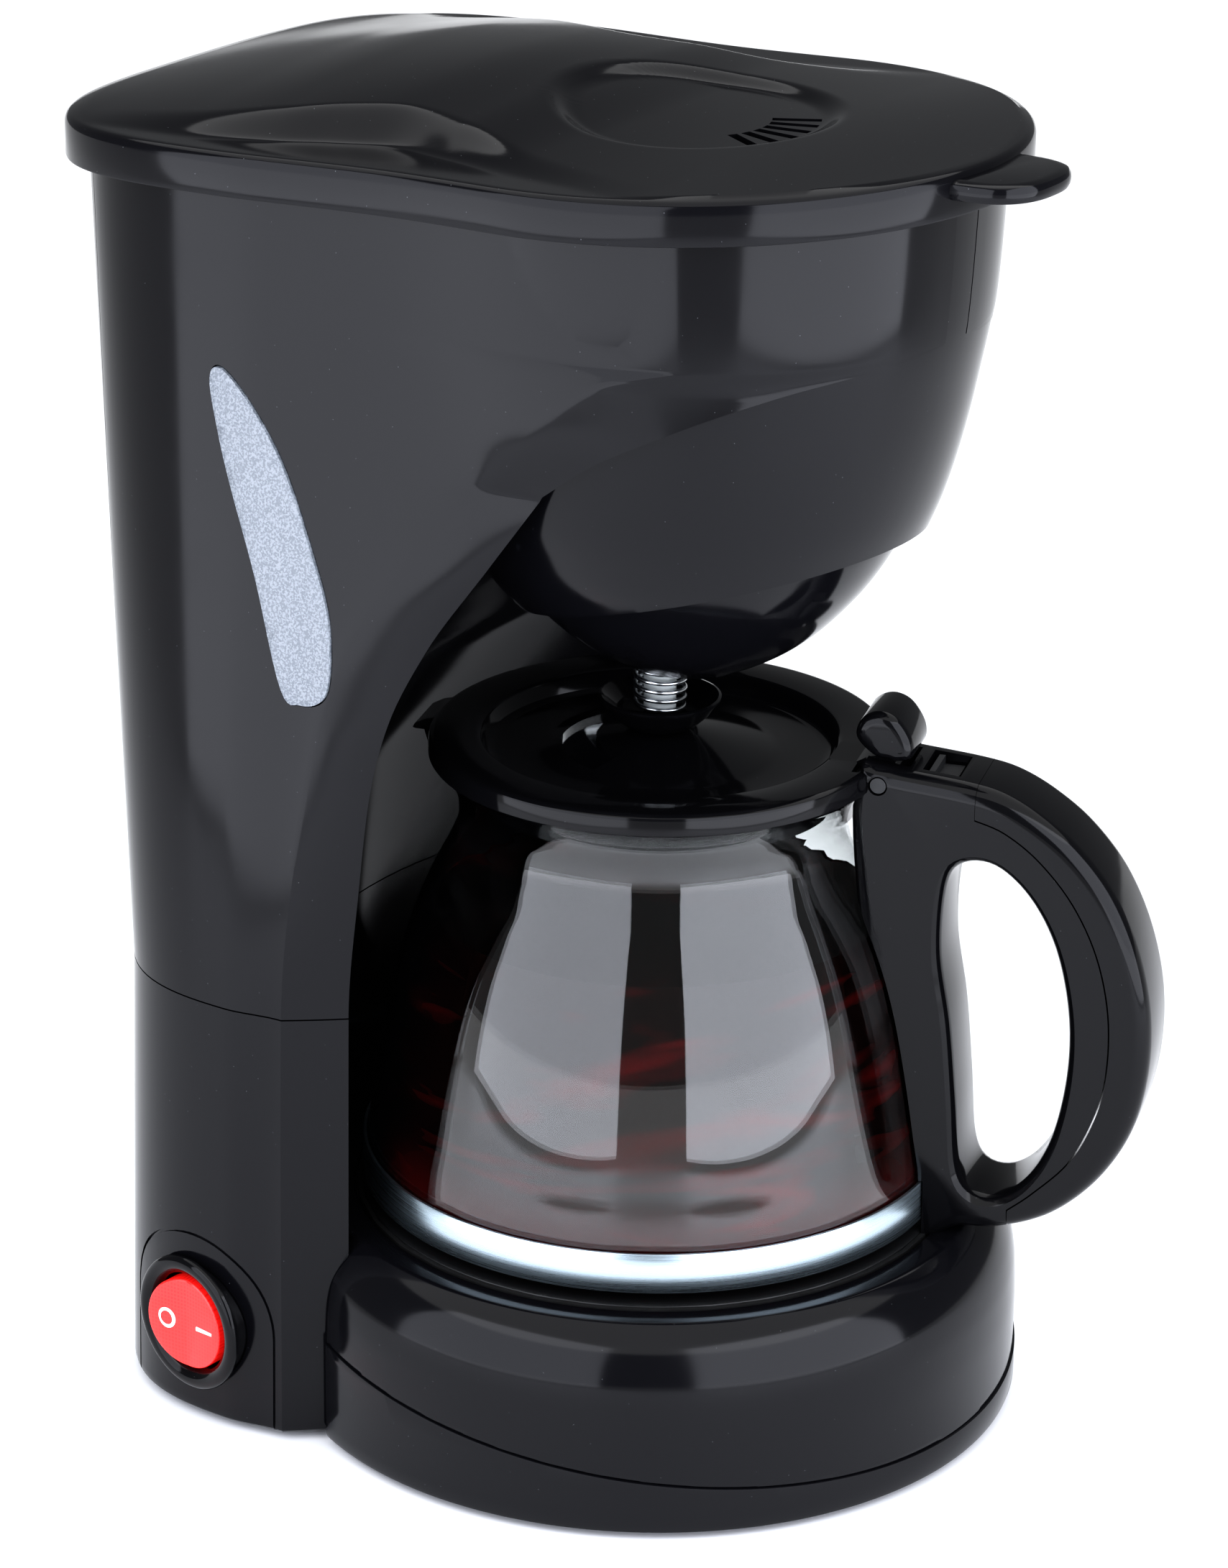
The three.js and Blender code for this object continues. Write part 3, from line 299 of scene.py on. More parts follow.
def glossAbs(name, colour, gloss, dust):
    # moulded ABS from a polished tool: deep black, sharp reflections, a trace of flow waves and dust
    material, tree, shader, where = newMaterial(name, {"IOR": 1.52, "Specular IOR Level": 0.19})
    cells = addNode(tree, "ShaderNodeTexVoronoi", {"Scale": 420, "Randomness": 1.0},
                    {"Vector": (where, "Object")})
    specks = addNode(tree, "ShaderNodeMapRange",
                     {"From Min": dust, "From Max": dust * 0.55, "To Min": 0.0, "To Max": 1.0},
                     {"Value": (cells, "Distance")})
    figured(tree, shader, specks, "Result", (colour, "#5a5d60"))
    haze = addNode(tree, "ShaderNodeTexNoise", {"Scale": 38.0, "Detail": 4.0}, {"Vector": (where, "Object")})
    rough = addNode(tree, "ShaderNodeMapRange",
                    {"From Min": 0.3, "From Max": 0.7, "To Min": gloss - 0.025, "To Max": gloss + 0.035},
                    {"Value": (haze, "Fac")})
    linked(tree, rough, "Result", shader, "Roughness")
    wave = addNode(tree, "ShaderNodeTexNoise", {"Scale": 22.0, "Detail": 1.5}, {"Vector": (where, "Object")})
    raised(tree, shader, wave, "Fac", 0.05, 0.8)
    return material


def mattPlastic(name, colours, rough, grain):
    # spark-eroded polypropylene or rubber: fine even grain, grain is its spacing in millimetres
    material, tree, shader, where = newMaterial(name, {"IOR": 1.49})
    fine = addNode(tree, "ShaderNodeTexNoise", {"Scale": 1000 / grain, "Detail": 3.0},
                   {"Vector": (where, "Object")})
    figured(tree, shader, fine, "Fac", colours, (rough - 0.08, rough + 0.08), (0.25, 0.1))
    return material


def brushedMetal(name, colours, rough, stretch):
    # drawn or rolled metal: fine parallel scratches, stretch is the pattern's scale along x, y and z
    material, tree, shader, where = newMaterial(name, {"Metallic": 1.0})
    along = addNode(tree, "ShaderNodeMapping", {"Scale": stretch}, {"Vector": (where, "Object")})
    lines = addNode(tree, "ShaderNodeTexNoise", {"Scale": 1.0, "Detail": 5.0, "Roughness": 0.7},
                    {"Vector": (along, "Vector")})
    figured(tree, shader, lines, "Fac", colours, (rough - 0.08, rough + 0.12), (0.15, 0.05))
    return material


def clearGlass():
    # pressed borosilicate glass: clear, very slightly wavy
    material, tree, shader, where = newMaterial("clearPressedGlass", {
        "Base Color": linear("#f6f9f9"), "IOR": 1.47, "Transmission Weight": 1.0, "Roughness": 0.0,
        "Specular IOR Level": 0.42})
    wave = addNode(tree, "ShaderNodeTexNoise", {"Scale": 26.0, "Detail": 1.0}, {"Vector": (where, "Object")})
    raised(tree, shader, wave, "Fac", 0.04, 0.8)
    return material


def brewedCoffee():
    # strong coffee behind glass: almost black, with painted light: red is painted in at the bottom and in
    # thin stripes where light would shine through the liquid, which is opaque here
    material, tree, shader, where = newMaterial("brewedCoffee", {
        "IOR": 1.34, "Roughness": 0.12, "Specular IOR Level": 0.06})
    spread = addNode(tree, "ShaderNodeMapping", {"Scale": (14.0, 14.0, 90.0)}, {"Vector": (where, "Object")})
    # painted glints: noise stripes where red light is painted into the colour
    paintedGlintStreaks = addNode(tree, "ShaderNodeTexNoise", {"Scale": 1.0, "Detail": 3.0, "Distortion": 1.2},
                      {"Vector": (spread, "Vector")})
    thin = addNode(tree, "ShaderNodeMapRange",
                   {"From Min": 0.52, "From Max": 0.75, "To Min": 0.0, "To Max": 0.8},
                   {"Value": (paintedGlintStreaks, "Fac")})
    height = addNode(tree, "ShaderNodeSeparateXYZ", links={"Vector": (where, "Object")})
    # painted glow: redder towards the bottom, standing in for light shining through the coffee
    low = addNode(tree, "ShaderNodeMapRange",
                  {"From Min": 0.064, "From Max": 0.046, "To Min": 0.0, "To Max": 0.55},
                  {"Value": (height, "Z")})
    paintedRedLight = addNode(tree, "ShaderNodeMath", {"operation": "MAXIMUM"},
                   {0: (thin, "Result"), 1: (low, "Result")})
    # 640d0f is the painted red of light through the coffee; #0d0403 is the coffee's own near-black
    figured(tree, shader, paintedRedLight, "Value", ("#0d0403", "#640d0f"))
    return material


def frostedPane():
    # translucent polypropylene, etched inside: pale blue-white with fine lighter worms
    material, tree, shader, where = newMaterial("frostedPolypropylene", {
        "IOR": 1.49, "Roughness": 0.28, "Subsurface Weight": 0.25,
        "Subsurface Radius": (0.004, 0.004, 0.005)})
    etched = addNode(tree, "ShaderNodeTexNoise", {"Scale": 2300.0, "Detail": 2.0, "Distortion": 0.4},
                     {"Vector": (where, "Object")})
    sharp = addNode(tree, "ShaderNodeMapRange", {"From Min": 0.44, "From Max": 0.58},
                    {"Value": (etched, "Fac")})
    figured(tree, shader, sharp, "Result", ("#656b73", "#838990"), relief=(0.2, 0.1))
    return material


def redPlasticPaintedGlow():
    # translucent red polycarbonate with a fine grid behind the face, grid spacing 0.8 mm
    material, tree, shader, where = newMaterial("redPolycarbonate", {
        "IOR": 1.58, "Roughness": 0.12,
        "Subsurface Weight": 0.3, "Subsurface Radius": (0.004, 0.0004, 0.0004),
        # painted glow: the emission makes the red plastic shine though no lamp sits behind it
        "Emission Color": linear("#ff1c14"), "Emission Strength": 0.32})
    waves = [addNode(tree, "ShaderNodeTexWave", {"bands_direction": direction, "Scale": 390.0},
                     {"Vector": (where, "Object")}) for direction in ("Y", "Z")]
    grid = addNode(tree, "ShaderNodeMath", {"operation": "MAXIMUM"},
                   {0: (waves[0], "Fac"), 1: (waves[1], "Fac")})
    figured(tree, shader, grid, "Value", ("#c80f12", "#f02522"))
    return material


def milkyPlastic(name, colours):
    # natural polypropylene, slightly cloudy
    material, tree, shader, where = newMaterial(name, {
        "IOR": 1.49, "Roughness": 0.3, "Subsurface Weight": 0.4, "Subsurface Radius": (0.003, 0.003, 0.003)})
    cloud = addNode(tree, "ShaderNodeTexNoise", {"Scale": 120.0, "Detail": 3.0},
                    {"Vector": (where, "Object")})
    figured(tree, shader, cloud, "Fac", colours)
    return material


materials = {
    "casing": glossAbs("polishedBlackAbs", "#0b0b0e", 0.11, 0.035),
    "lid": glossAbs("polishedBlackAbsLid", "#0c0c0f", 0.1, 0.045),
    "jug": glossAbs("polishedBlackPolypropylene", "#09090b", 0.09, 0.03),
    "matt": mattPlastic("sparkErodedBlackPolypropylene", ("#141516", "#1f2022"), 0.5, 0.5),
    "rubber": mattPlastic("mouldedBlackRubber", ("#101011", "#1b1b1c"), 0.7, 0.8),
    "silicone": mattPlastic("curedSilicone", ("#b6b2a8", "#c9c6be"), 0.5, 1.5),
    "seal": mattPlastic("curedBlackSilicone", ("#141414", "#1e1e1e"), 0.45, 1.5),
    "steel": brushedMetal("platedSpringSteel", ("#aeb2b6", "#dfe2e4"), 0.2, (900.0, 900.0, 900.0)),
    "aluminium": brushedMetal("millFinishAluminium", ("#a9adb0", "#c3c7ca"), 0.38, (300.0, 300.0, 1500.0)),
    "band": brushedMetal("rolledAluminiumStrip", ("#a9bac6", "#cfdfe6"), 0.26, (30.0, 30.0, 3500.0)),
    "coated": mattPlastic("bakedNonStickCoating", ("#0d0d0e", "#191a1b"), 0.38, 0.6),
    "milky": milkyPlastic("naturalPolypropylene", ("#c4cac9", "#dfe3e2")),
    "tank": milkyPlastic("cloudyPolypropylene", ("#8f9aa6", "#b3bdc8")),
    "frosted": frostedPane(),
    "red": redPlasticPaintedGlow(),
    "glass": clearGlass(),
    "coffee": brewedCoffee(),
    "mark": mattPlastic("whitePadPrint", ("#f2f2f2", "#ffffff"), 0.5, 0.4),
}
print("materials made")

# tower and brew head
tower = {
    "wall": 2.5,
    "seam": 92.0,
    "joint": 0.15,
    "rim": 259.5,
    "rimSlope": math.tan(math.radians(2.5)),
    "foot": 1.6,
    "headLow": 204,
    "rearDepth": 11.0,
    "headCentre": -6.0,
    "headStretch": 1.06,
    "arcPoints": 30,
    "flankPoints": 16,
    "rearPoints": 36,
    "nichePoints": 36,
}
widthAt = [(0, 73.5), (92, 71.7), (264, 57.6)]
rearAt = [(0, 100.5), (92, 99), (264, 112)]
widestAt = [(0, 54), (92, 54), (264, 60)]
squareAt = [(0, 2.7), (92, 2.7), (264, 3.5)]
cornerX = smoothTable([(0, 62.5), (92, 61.5), (150, 60.5), (170, 58), (188, 55), (204, 52.6)])
cornerY = smoothTable([(0, 31), (92, 31), (120, 28.5), (140, 26), (155, 22), (170, 15), (188, 3), (204, -8)])
nicheY = smoothTable([(0, 67.5), (92, 67.5), (120, 66.5), (140, 61), (155, 51), (170, 38), (188, 20),
                      (204, 8)])
edgeX = smoothTable([(0, 71.5), (92, 69.8), (150, 64.5), (170, 62.5), (188, 59.5), (204, 56.9), (264, 54.6)])
edgeY = smoothTable([(0, 41), (92, 41.2), (150, 36), (170, 30), (188, 18), (204, 8), (264, 14)])
creaseAngle = smoothTable([(204, 88.1), (213, 75.5), (218, 65.8), (222.5, 55.5), (225.4, 46.8), (227.6, 38),
                           (229.6, 24), (231.5, 4)])
creaseLift = smoothTable([(204, 3.0), (213, 2.5), (218, 1.9), (222.5, 1.2), (225.4, 0.7), (227.6, 0.35),
                          (229.6, 0.15), (231.5, 0.08)])
headRadius = smoothTable([(166, 26), (170, 33), (176, 38.2), (182, 42), (188.6, 44.9), (194.5, 47.1),
                          (206, 50.2), (218, 52.6), (235, 55.2), (264.5, 56.8)])
bowlProfile = [(155.2, 7), (157.2, 13), (160.5, 19), (164.7, 24.6), (170.8, 30.4), (176.7, 34.9),
               (182.7, 38.4), (189, 41.2), (200, 43.4)]


def straight(table, z):
    return float(np.interp(z, [t[0] for t in table], [t[1] for t in table]))


def polar(x, y):
    v = -(y - tower["headCentre"]) / tower["headStretch"]
    return math.atan2(x, v), math.hypot(x, v)


def halfOutline(z):
    # from the front corner, along the flank, to the middle of the back
    width, rear = straight(widthAt, z), straight(rearAt, z)
    widest, power = straight(widestAt, z), straight(squareAt, z)
    ex, ey = float(edgeX(z)), float(edgeY(z))
    if z < tower["headLow"]:
        a0, r0 = polar(float(cornerX(z)), float(cornerY(z)))
    else:
        a0, r0 = math.radians(float(creaseAngle(z))), float(headRadius(z)) + float(creaseLift(z))
    a1, r1 = polar(ex, ey)
    points = []
    high = float(smoothStep(180, 225, z))
    for i in range(tower["arcPoints"]):
        u = i / tower["arcPoints"]
        a = a0 + (a1 - a0) * u
        r = r0 + (r1 - r0) * (u + (u * u - u) * high)
        points.append((r * math.sin(a), tower["headCentre"] - tower["headStretch"] * r * math.cos(a)))
    for i in range(tower["flankPoints"]):
        t = i / tower["flankPoints"]
        points.append((ex + (width - ex) * float(smoothStep(0, 1, t)), ey + (widest - ey) * t))
    for i in range(tower["rearPoints"] + 1):
        a = math.pi / 2 * i / tower["rearPoints"]
        r = (abs(math.cos(a)) ** power + abs(math.sin(a)) ** power) ** (-1 / power)
        points.append((width * math.cos(a) * r, widest + (rear - widest) * math.sin(a) * r))
    return relaxed(points, tower["arcPoints"], high)


def relaxed(points, middle, amount):
    # softens the waist between head and flank
    p = np.array(points)
    for _ in range(int(30 * amount)):
        low, top = middle - 12, middle + 14
        p[low:top] = 0.5 * p[low:top] + 0.25 * (p[low - 1:top - 1] + p[low + 1:top + 1])
    return [tuple(q) for q in p]


def outline(z, out=0.0):
    half = halfOutline(z)
    other = [(-x, y) for x, y in half[:-1]][::-1]
    cx, cy = half[0]
    middle = float(nicheY(z))
    n = tower["nichePoints"]
    niche = [(cx * math.cos(a), cy + (middle - cy) * math.sin(a))
             for a in (math.pi * (1 - i / n) for i in range(1, n))]
    ring = np.array([*half, *other, *niche])
    if out:
        ring = grown(ring, out)
    return [(x, y, z) for x, y in ring]


def grown(ring, out):
    # moves a closed outline outwards along its own normals
    ahead = np.roll(ring, -1, 0) - ring
    behind = ring - np.roll(ring, 1, 0)
    normal = ahead / np.linalg.norm(ahead, axis=1)[:, None] + behind / np.linalg.norm(behind, axis=1)[:, None]
    normal = np.stack([normal[:, 1], -normal[:, 0]], 1)
    normal /= np.maximum(np.linalg.norm(normal, axis=1)[:, None], 1e-9)
    return ring + normal * out


def levels(low, high, step):
    return list(np.linspace(low, high, max(2, int(round((high - low) / step)) + 1)))


def towerSkin(name, heights, out=0.0):
    return stacked(name, [outline(z, out) for z in heights])


def backPart(z, wall):
    # the plan without its front wings, with a straight front behind the niche
    half = halfOutline(z)[tower["arcPoints"] + 2:]
    ring = [*half, *[(-x, y) for x, y in half[:-1]][::-1]]
    ring = grown(np.array(ring), -wall)
    return [(x, y, z) for x, y in ring]


def hollow(low, high, wall):
    # the room inside the tower, behind the niche's own wall
    room = stacked("room", [backPart(z, wall) for z in levels(low, high, 8)])
    rings = []
    for z in levels(low - 2, 206, 6):
        y = float(nicheY(z)) + wall
        rings.append([(70, -40, z), (70, y, z), (-70, y, z), (-70, -40, z)])
    return combined(room, [stacked("front", rings)])


def headLathe(name, low, inset, sides=180):
    side = [(float(headRadius(z)) - inset, z) for z in levels(low, 268, 2)]
    return turned(name, [(0, low), *side, (0, 268)], sides, tower["headStretch"], tower["headCentre"])


def slab(name, height, slope, low=None, high=None):
    # everything above (high given) or below (low given) the plane z = height + slope * y
    flat = low if low is not None else high
    span = 300
    edge = [(-span, -span), (span, -span), (span, span), (-span, span)]
    tilted = [(x, y, height + slope * y) for x, y in edge]
    level = [(x, y, flat) for x, y in edge]
    return stacked(name, [level, tilted] if low is not None else [tilted, level])


def behindSeam(shiftBack):
    def ring(z):
        y = straight(rearAt, z) - tower["rearDepth"] + shiftBack
        return [(-120, y, z), (120, y, z), (120, 200, z), (-120, 200, z)]
    return stacked("behind", [ring(-10), ring(tower["seam"]), ring(290)])


windowOutline = [(33.4, 162.4), (34.2, 173.6), (38, 185.4), (44.4, 200.8), (50.9, 210.8), (57.4, 217.4),
                 (61.2, 218.8), (62.2, 215.4), (59.9, 206.6), (57, 198), (50.2, 180), (43.8, 158.6),
                 (39.6, 156.2), (35.2, 157.6)]
window = {"gap": 0.3, "proud": 0.5, "sunk": 2, "from": -95, "to": -50}


def windowPane(margin):
    # the window's outline pushed through the left side
    ring = np.array(rounded(windowOutline, 6, True))
    out = margin if signedArea(ring) > 0 else -margin
    return sidePrism("pane", [tuple(q) for q in grown(ring, out)], window["from"], window["to"])


def openTop():
    return slab("top", tower["rim"], -tower["rimSlope"], high=330)


def casingPiece(obj, node, angle):
    return finished(obj, "machine", materials["casing"], [node], angle)


def upperHousing():
    # rows stand closest where the crease runs over the head
    skin = towerSkin("upperHousing", [tower["seam"], 92.25, *levels(93, 203, 2.2), *levels(204, 226, 1.0),
                                      *levels(226.3, 232, 0.3), *levels(233, 264, 3)])
    head = combined(headLathe("head", 160, 0), [slab("under", 174.3, -0.28, low=100)])
    combined(skin, [head], "UNION")
    bowlRoom = turned("bowlRoom", [(0, 150), *[(r + 0.3, z) for z, r in bowlProfile], (43.7, 208), (0, 208)],
                      128, tower["headStretch"], tower["headCentre"])
    combined(skin, [hollow(91, 268, tower["wall"]), headLathe("inside", 188, tower["wall"]), bowlRoom,
                    openTop(), behindSeam(-tower["joint"]), windowPane(window["gap"])])
    return casingPiece(skin, "upper_housing", 24)


def rimmed(low, high, step, fillet):
    # heights and insets with a small round at the lower edge
    edge = [(low, -fillet), (low + fillet * 0.13, -fillet * 0.5), (low + fillet * 0.5, -fillet * 0.13),
            (low + fillet, 0)]
    return [*edge, *[(z, 0.0) for z in levels(low + fillet + 1, high, step)]]


hinge = {"y": 115.0, "from": 20.0, "to": 28.0, "ear": 31.5, "pin": 1.5, "barrel": 2.5}
hingeZ = tower["rim"] - tower["rimSlope"] * 111 - 7.8
switch = {"place": (-72.6, 61.8, 21.8), "turn": 10.0, "button": 9.6, "seat": 1.1, "tilt": 6.0,
          "archOuter": 19.3, "archInner": 18.7}


def archBand():
    # thin line of the switch panel: an arch over the switch, open at the foot
    x, y, z = switch["place"]
    outer, inner = switch["archOuter"], switch["archInner"]

    def arch(r):
        return [(y + r * math.cos(a), z + r * math.sin(a)) for a in np.linspace(0, math.pi, 33)]
    points = [(y + outer, -3), *arch(outer), (y - outer, -3), (y - inner, -3), *arch(inner)[::-1],
              (y + inner, -3)]
    return sidePrism("arch", points, -95, -40)


def lowerHousing():
    rows = rimmed(tower["foot"], 91.7, 3, 1.6)
    skin = stacked("lowerHousing", [outline(z, out) for z, out in rows])
    deep = towerSkin("deep", levels(-6, 96, 8), -0.45)
    groove = combined(archBand(), [deep])
    combined(skin, [hollow(0, 96, tower["wall"]), behindSeam(-tower["joint"]), switchHole(), groove,
                    block("gate", -40.3, 40.3, 50, 73, -1, 37)])
    return casingPiece(skin, "lower_housing", 24)


def rearCover():
    rows = [*rimmed(tower["foot"], 91, 4, 1.6), *[(z, 0.0) for z in levels(92, 264, 4)]]
    skin = stacked("rearCover", [outline(z, out) for z, out in rows])
    front = block("front", -130, 130, -130, 60, -20, 300)
    combined(skin, [front, hollow(0, 268, tower["wall"]), openTop()])
    combined(skin, [behindSeam(tower["joint"])], "INTERSECT")
    combined(skin, [inletHole()])
    combined(skin, [hingeLug(side) for side in (-1, 1)], "UNION")
    return casingPiece(skin, "rear_cover", 24)


def crossBar(name, x0, x1, radius):
    bar = rod(name, radius, min(x0, x1), max(x0, x1), 40)
    return moved(bar, shift(0, hinge["y"], hingeZ) @ Matrix.Rotation(math.pi / 2, 4, "Y"))


def hingeLug(side):
    x0, x1 = sorted((side * hinge["from"], side * hinge["to"]))
    web = block("web", x0, x1, hinge["y"] - 5.6, hinge["y"], hingeZ - 2.4, hingeZ + 1)
    lug = combined(crossBar("lug", x0, x1, hinge["barrel"]), [web], "UNION")
    return combined(lug, [crossBar("bore", x0 - 1, x1 + 1, hinge["pin"])])


def onSide(obj):
    # made facing +Z about the axis, then stood on the tower's left side
    x, y, z = switch["place"]
    facing = Matrix.Rotation(math.radians(-switch["turn"]), 4, "Z")
    return moved(obj, shift(x, y, z) @ facing @ Matrix.Rotation(-math.pi / 2, 4, "Y"))


def switchHole():
    return onSide(rod("hole", 12.9, -14, 6, 64))


def inletHole():
    return moved(rod("inlet", 6.3, -12, 16, 48), shift(22, 96, 16) @ Matrix.Rotation(-math.pi / 2, 4, "X"))


upperHousing()
lowerHousing()
rearCover()
print("housings made")

# base
drum = {"split": 18.3, "slope": 0.137, "joint": 0.15, "towerGap": 0.3}
drumSide = smoothTable([(0, 74.6), (20, 74.6), (28, 74.3), (33, 73.5), (36.5, 72.2), (39.5, 70.3),
                        (41.5, 68.3), (42.7, 66.6)])


def towerRooms():
    # what the tower and its niche take out of the drum
    room = combined(block("nicheRoom", -90, 90, 33, 110, -5, 60), [rod("deck", 66.8, -6, 61, 160)])
    return [towerSkin("towerRoom", levels(-5, 60, 6), drum["towerGap"]), room]


def seamed(skin, node, cutter):
    combined(skin, [cutter, *towerRooms()])
    bevelled(skin, 0.35, 2, 50)
    return casingPiece(skin, node, 30)


def drumShell():
    outer = [(float(drumSide(z)), z) for z in levels(0, 42.7, 1.2)]
    rim = [(66.2, 42.95), (65.4, 43.0), (62.4, 43.0), (61.0, 42.8), (60.5, 42.2), (60.5, 38)]
    inner = [(66, 39), (70, 36), (71.8, 30), (72.1, 20), (72.1, 0)]
    skin = turned("drumShell", [*outer, *rim, *inner, outer[0]], 200)
    return seamed(skin, "drum_shell", slab("lower", drum["split"] + drum["joint"], drum["slope"], low=-60))


def baseRing():
    outer = [(74.0, 1.6), (74.7, 1.9), (75.0, 2.8), *[(75.0, z) for z in levels(5, 40, 5)]]
    skin = turned("baseRing", [*outer, (72.5, 40), (72.5, 1.6), (74.0, 1.6)], 200)
    return seamed(skin, "base_ring", slab("upper", drum["split"] - drum["joint"], drum["slope"], high=120))


def hotPlate():
    profile = [(0, 41.8), (55, 41.8), (55, 39.8), (59, 39.8), (59, 42.3), (58.8, 42.75), (58.4, 42.95),
               (57.8, 43.0), (54.0, 43.0), (53.2, 42.55), (52.2, 42.4), (0, 42.4)]
    plate = turned("hotPlate", profile, 160)
    return finished(plate, "machine", materials["coated"], ["hot_plate"], 30)


drumShell()
baseRing()
hotPlate()
print("base made")

# bowl and drip stop
def brewBowl():
    curve = smoothTable(bowlProfile)
    zs = levels(157.2, 200, 1.4)
    outer = [(7, 155.2), (9.5, 155.5), (11.6, 156.3), *[(float(curve(z)), z) for z in zs]]
    inner = [(float(curve(z)) - 2, z + 1.2) for z in levels(158, 198, 4)][::-1]
    profile = [(0, 155.2), *outer, (41.4, 200), *inner, (5, 157.2), (0, 157.2)]
    shell = turned("brewBowl", profile, 160, tower["headStretch"], tower["headCentre"])
    return casingPiece(combined(shell, [rod("bore", 3.8, 150, 162, 48)]), "bowl", 30)


def dripDish():
    profile = [(0, 140.6), (4.6, 140.6), (5.8, 140.9), (8, 142.2), (10, 144.1), (11.4, 146.2), (12.1, 147),
               (12.15, 147.4), (11.6, 147.6), (10.6, 146.8), (9, 145.2), (7.2, 144.2), (0, 144.2)]
    dish = turned("dripDish", profile, 96)
    return finished(dish, "drip_stop", materials["jug"], ["drip_dish"], 40)


def dripStem():
    profile = [(0, 144.9), (3.2, 144.9), (3.2, 191.7), (6.4, 191.7), (6.4, 192.7), (6.0, 192.9), (2, 193.9),
               (0, 193.9)]
    stem = turned("dripStem", profile, 64)
    return finished(stem, "drip_stop", materials["milky"], ["drip_stem"], 30)


spring = {"radius": 4.9, "wire": 0.5, "turns": 5.0, "low": 145.0, "high": 154.4, "steps": 48}


def dripSpring():
    # the wire is one spiral curve with a round section
    tree = bpy.data.node_groups.new("springWire", "GeometryNodeTree")
    sizes = {"radius": spring["radius"] * 0.001, "wire": spring["wire"] * 0.001, "turns": spring["turns"],
             "height": (spring["high"] - spring["low"]) * 0.001, "steps": spring["steps"],
             "material": materials["steel"]}
    kinds = {"steps": "NodeSocketInt", "material": "NodeSocketMaterial"}
    sockets = {}
    for name in sizes:
        kind = kinds.get(name, "NodeSocketFloat")
        sockets[name] = tree.interface.new_socket(name, in_out="INPUT", socket_type=kind).identifier
    tree.interface.new_socket("geometry", in_out="OUTPUT", socket_type="NodeSocketGeometry")
    given = addNode(tree, "NodeGroupInput")
    spiral = addNode(tree, "GeometryNodeCurveSpiral", links={
        "Resolution": (given, "steps"), "Rotations": (given, "turns"), "Start Radius": (given, "radius"),
        "End Radius": (given, "radius"), "Height": (given, "height")})
    section = addNode(tree, "GeometryNodeCurvePrimitiveCircle", {"Resolution": 12},
                      {"Radius": (given, "wire")})
    tube = addNode(tree, "GeometryNodeCurveToMesh", {"Fill Caps": True},
                   {"Curve": (spiral, "Curve"), "Profile Curve": (section, "Curve")})
    real = addNode(tree, "GeometryNodeRealizeInstances", links={"Geometry": (tube, "Mesh")})
    coated = addNode(tree, "GeometryNodeSetMaterial", links={
        "Geometry": (real, "Geometry"), "Material": (given, "material")})
    addNode(tree, "NodeGroupOutput", links={"geometry": (coated, "Geometry")})
    obj = bpy.data.objects.new("dripSpring", bpy.data.meshes.new("dripSpring"))
    bpy.context.scene.collection.objects.link(obj)
    step = obj.modifiers.new("wire", "NODES")
    step.node_group = tree
    for name, size in sizes.items():
        step[sockets[name]] = size
    merged(obj)
    obj.data.transform(Matrix.Translation((axisX, axisY, spring["low"] * 0.001)))
    return finished(obj, "machine", materials["steel"], ["drip_spring"], 60)


brewBowl()
dripDish()
dripStem()
dripSpring()
print("bowl and drip stop made")

# top lid
lid = {
    "headRadius": 56.8, "overhang": 4.6, "skirt": 8.5, "edge": 4.0, "wall": 2.2,
    "recess": 28.6, "floor": 23.5, "recessY": -6.5, "depth": 1.8,
    "slots": 6, "spread": 12.0, "tab": 14.0, "tabHalf": 13.2, "columns": 150, "rows": 72,
}
ridgeAt = smoothTable([(-70, 0), (-40, 1.6), (-20, 2.2), (0, 3.6), (20, 7.0), (40, 8.8), (60, 8.2), (80, 5.8),
                       (100, 2.8), (116, 0)])
domeEdgeAt = smoothTable([(-45, 62), (-15, 54), (0, 51), (19, 45.5), (33, 43), (45, 46), (57, 50.5),
                          (75, 54.5), (120, 56)])
stepShareAt = smoothTable([(-30, 0), (0, 0.35), (20, 0.6), (45, 0.55), (70, 0.3), (100, 0)])


def lidRise(x, y):
    # the ridge along the middle, part step and part dome across, with the round dip in front
    edge = float(domeEdgeAt(y))
    share = float(stepShareAt(y))
    u = min(1, abs(x) / edge)
    inside = float(smoothStep(-2, 8, edge - abs(x)))
    crown = share * inside + (1 - share) * (1 - u * u)
    away = math.hypot(x, y - lid["recessY"])
    dip = lid["depth"] * (1 - float(smoothStep(lid["floor"], lid["recess"], away)))
    return lid["edge"] + float(ridgeAt(y)) * crown - dip


def lidOutline(offset):
    # the right half of the rim, seen from above, spaced evenly
    across = lid["headRadius"] + offset
    along = lid["headRadius"] * tower["headStretch"] + offset
    half = [(across * math.cos(a), tower["headCentre"] + along * math.sin(a))
            for a in np.linspace(-math.pi / 2, math.radians(6), 60)]
    flank = [q for q in halfOutline(tower["rim"])[tower["arcPoints"] + 1:] if q[1] > half[-1][1] + 4]
    out = evenly(np.array([*half, *[tuple(q) for q in sideways(flank, offset)]]), lid["columns"] + 1)
    for _ in range(6):
        out[1:-1] = 0.5 * out[1:-1] + 0.25 * (out[:-2] + out[2:])
    return out


def sideways(points, offset):
    # moves an open line to its right
    p = np.array(points)
    ahead = np.gradient(p, axis=0)
    normal = np.stack([ahead[:, 1], -ahead[:, 0]], 1)
    normal /= np.linalg.norm(normal, axis=1)[:, None]
    return p + normal * offset


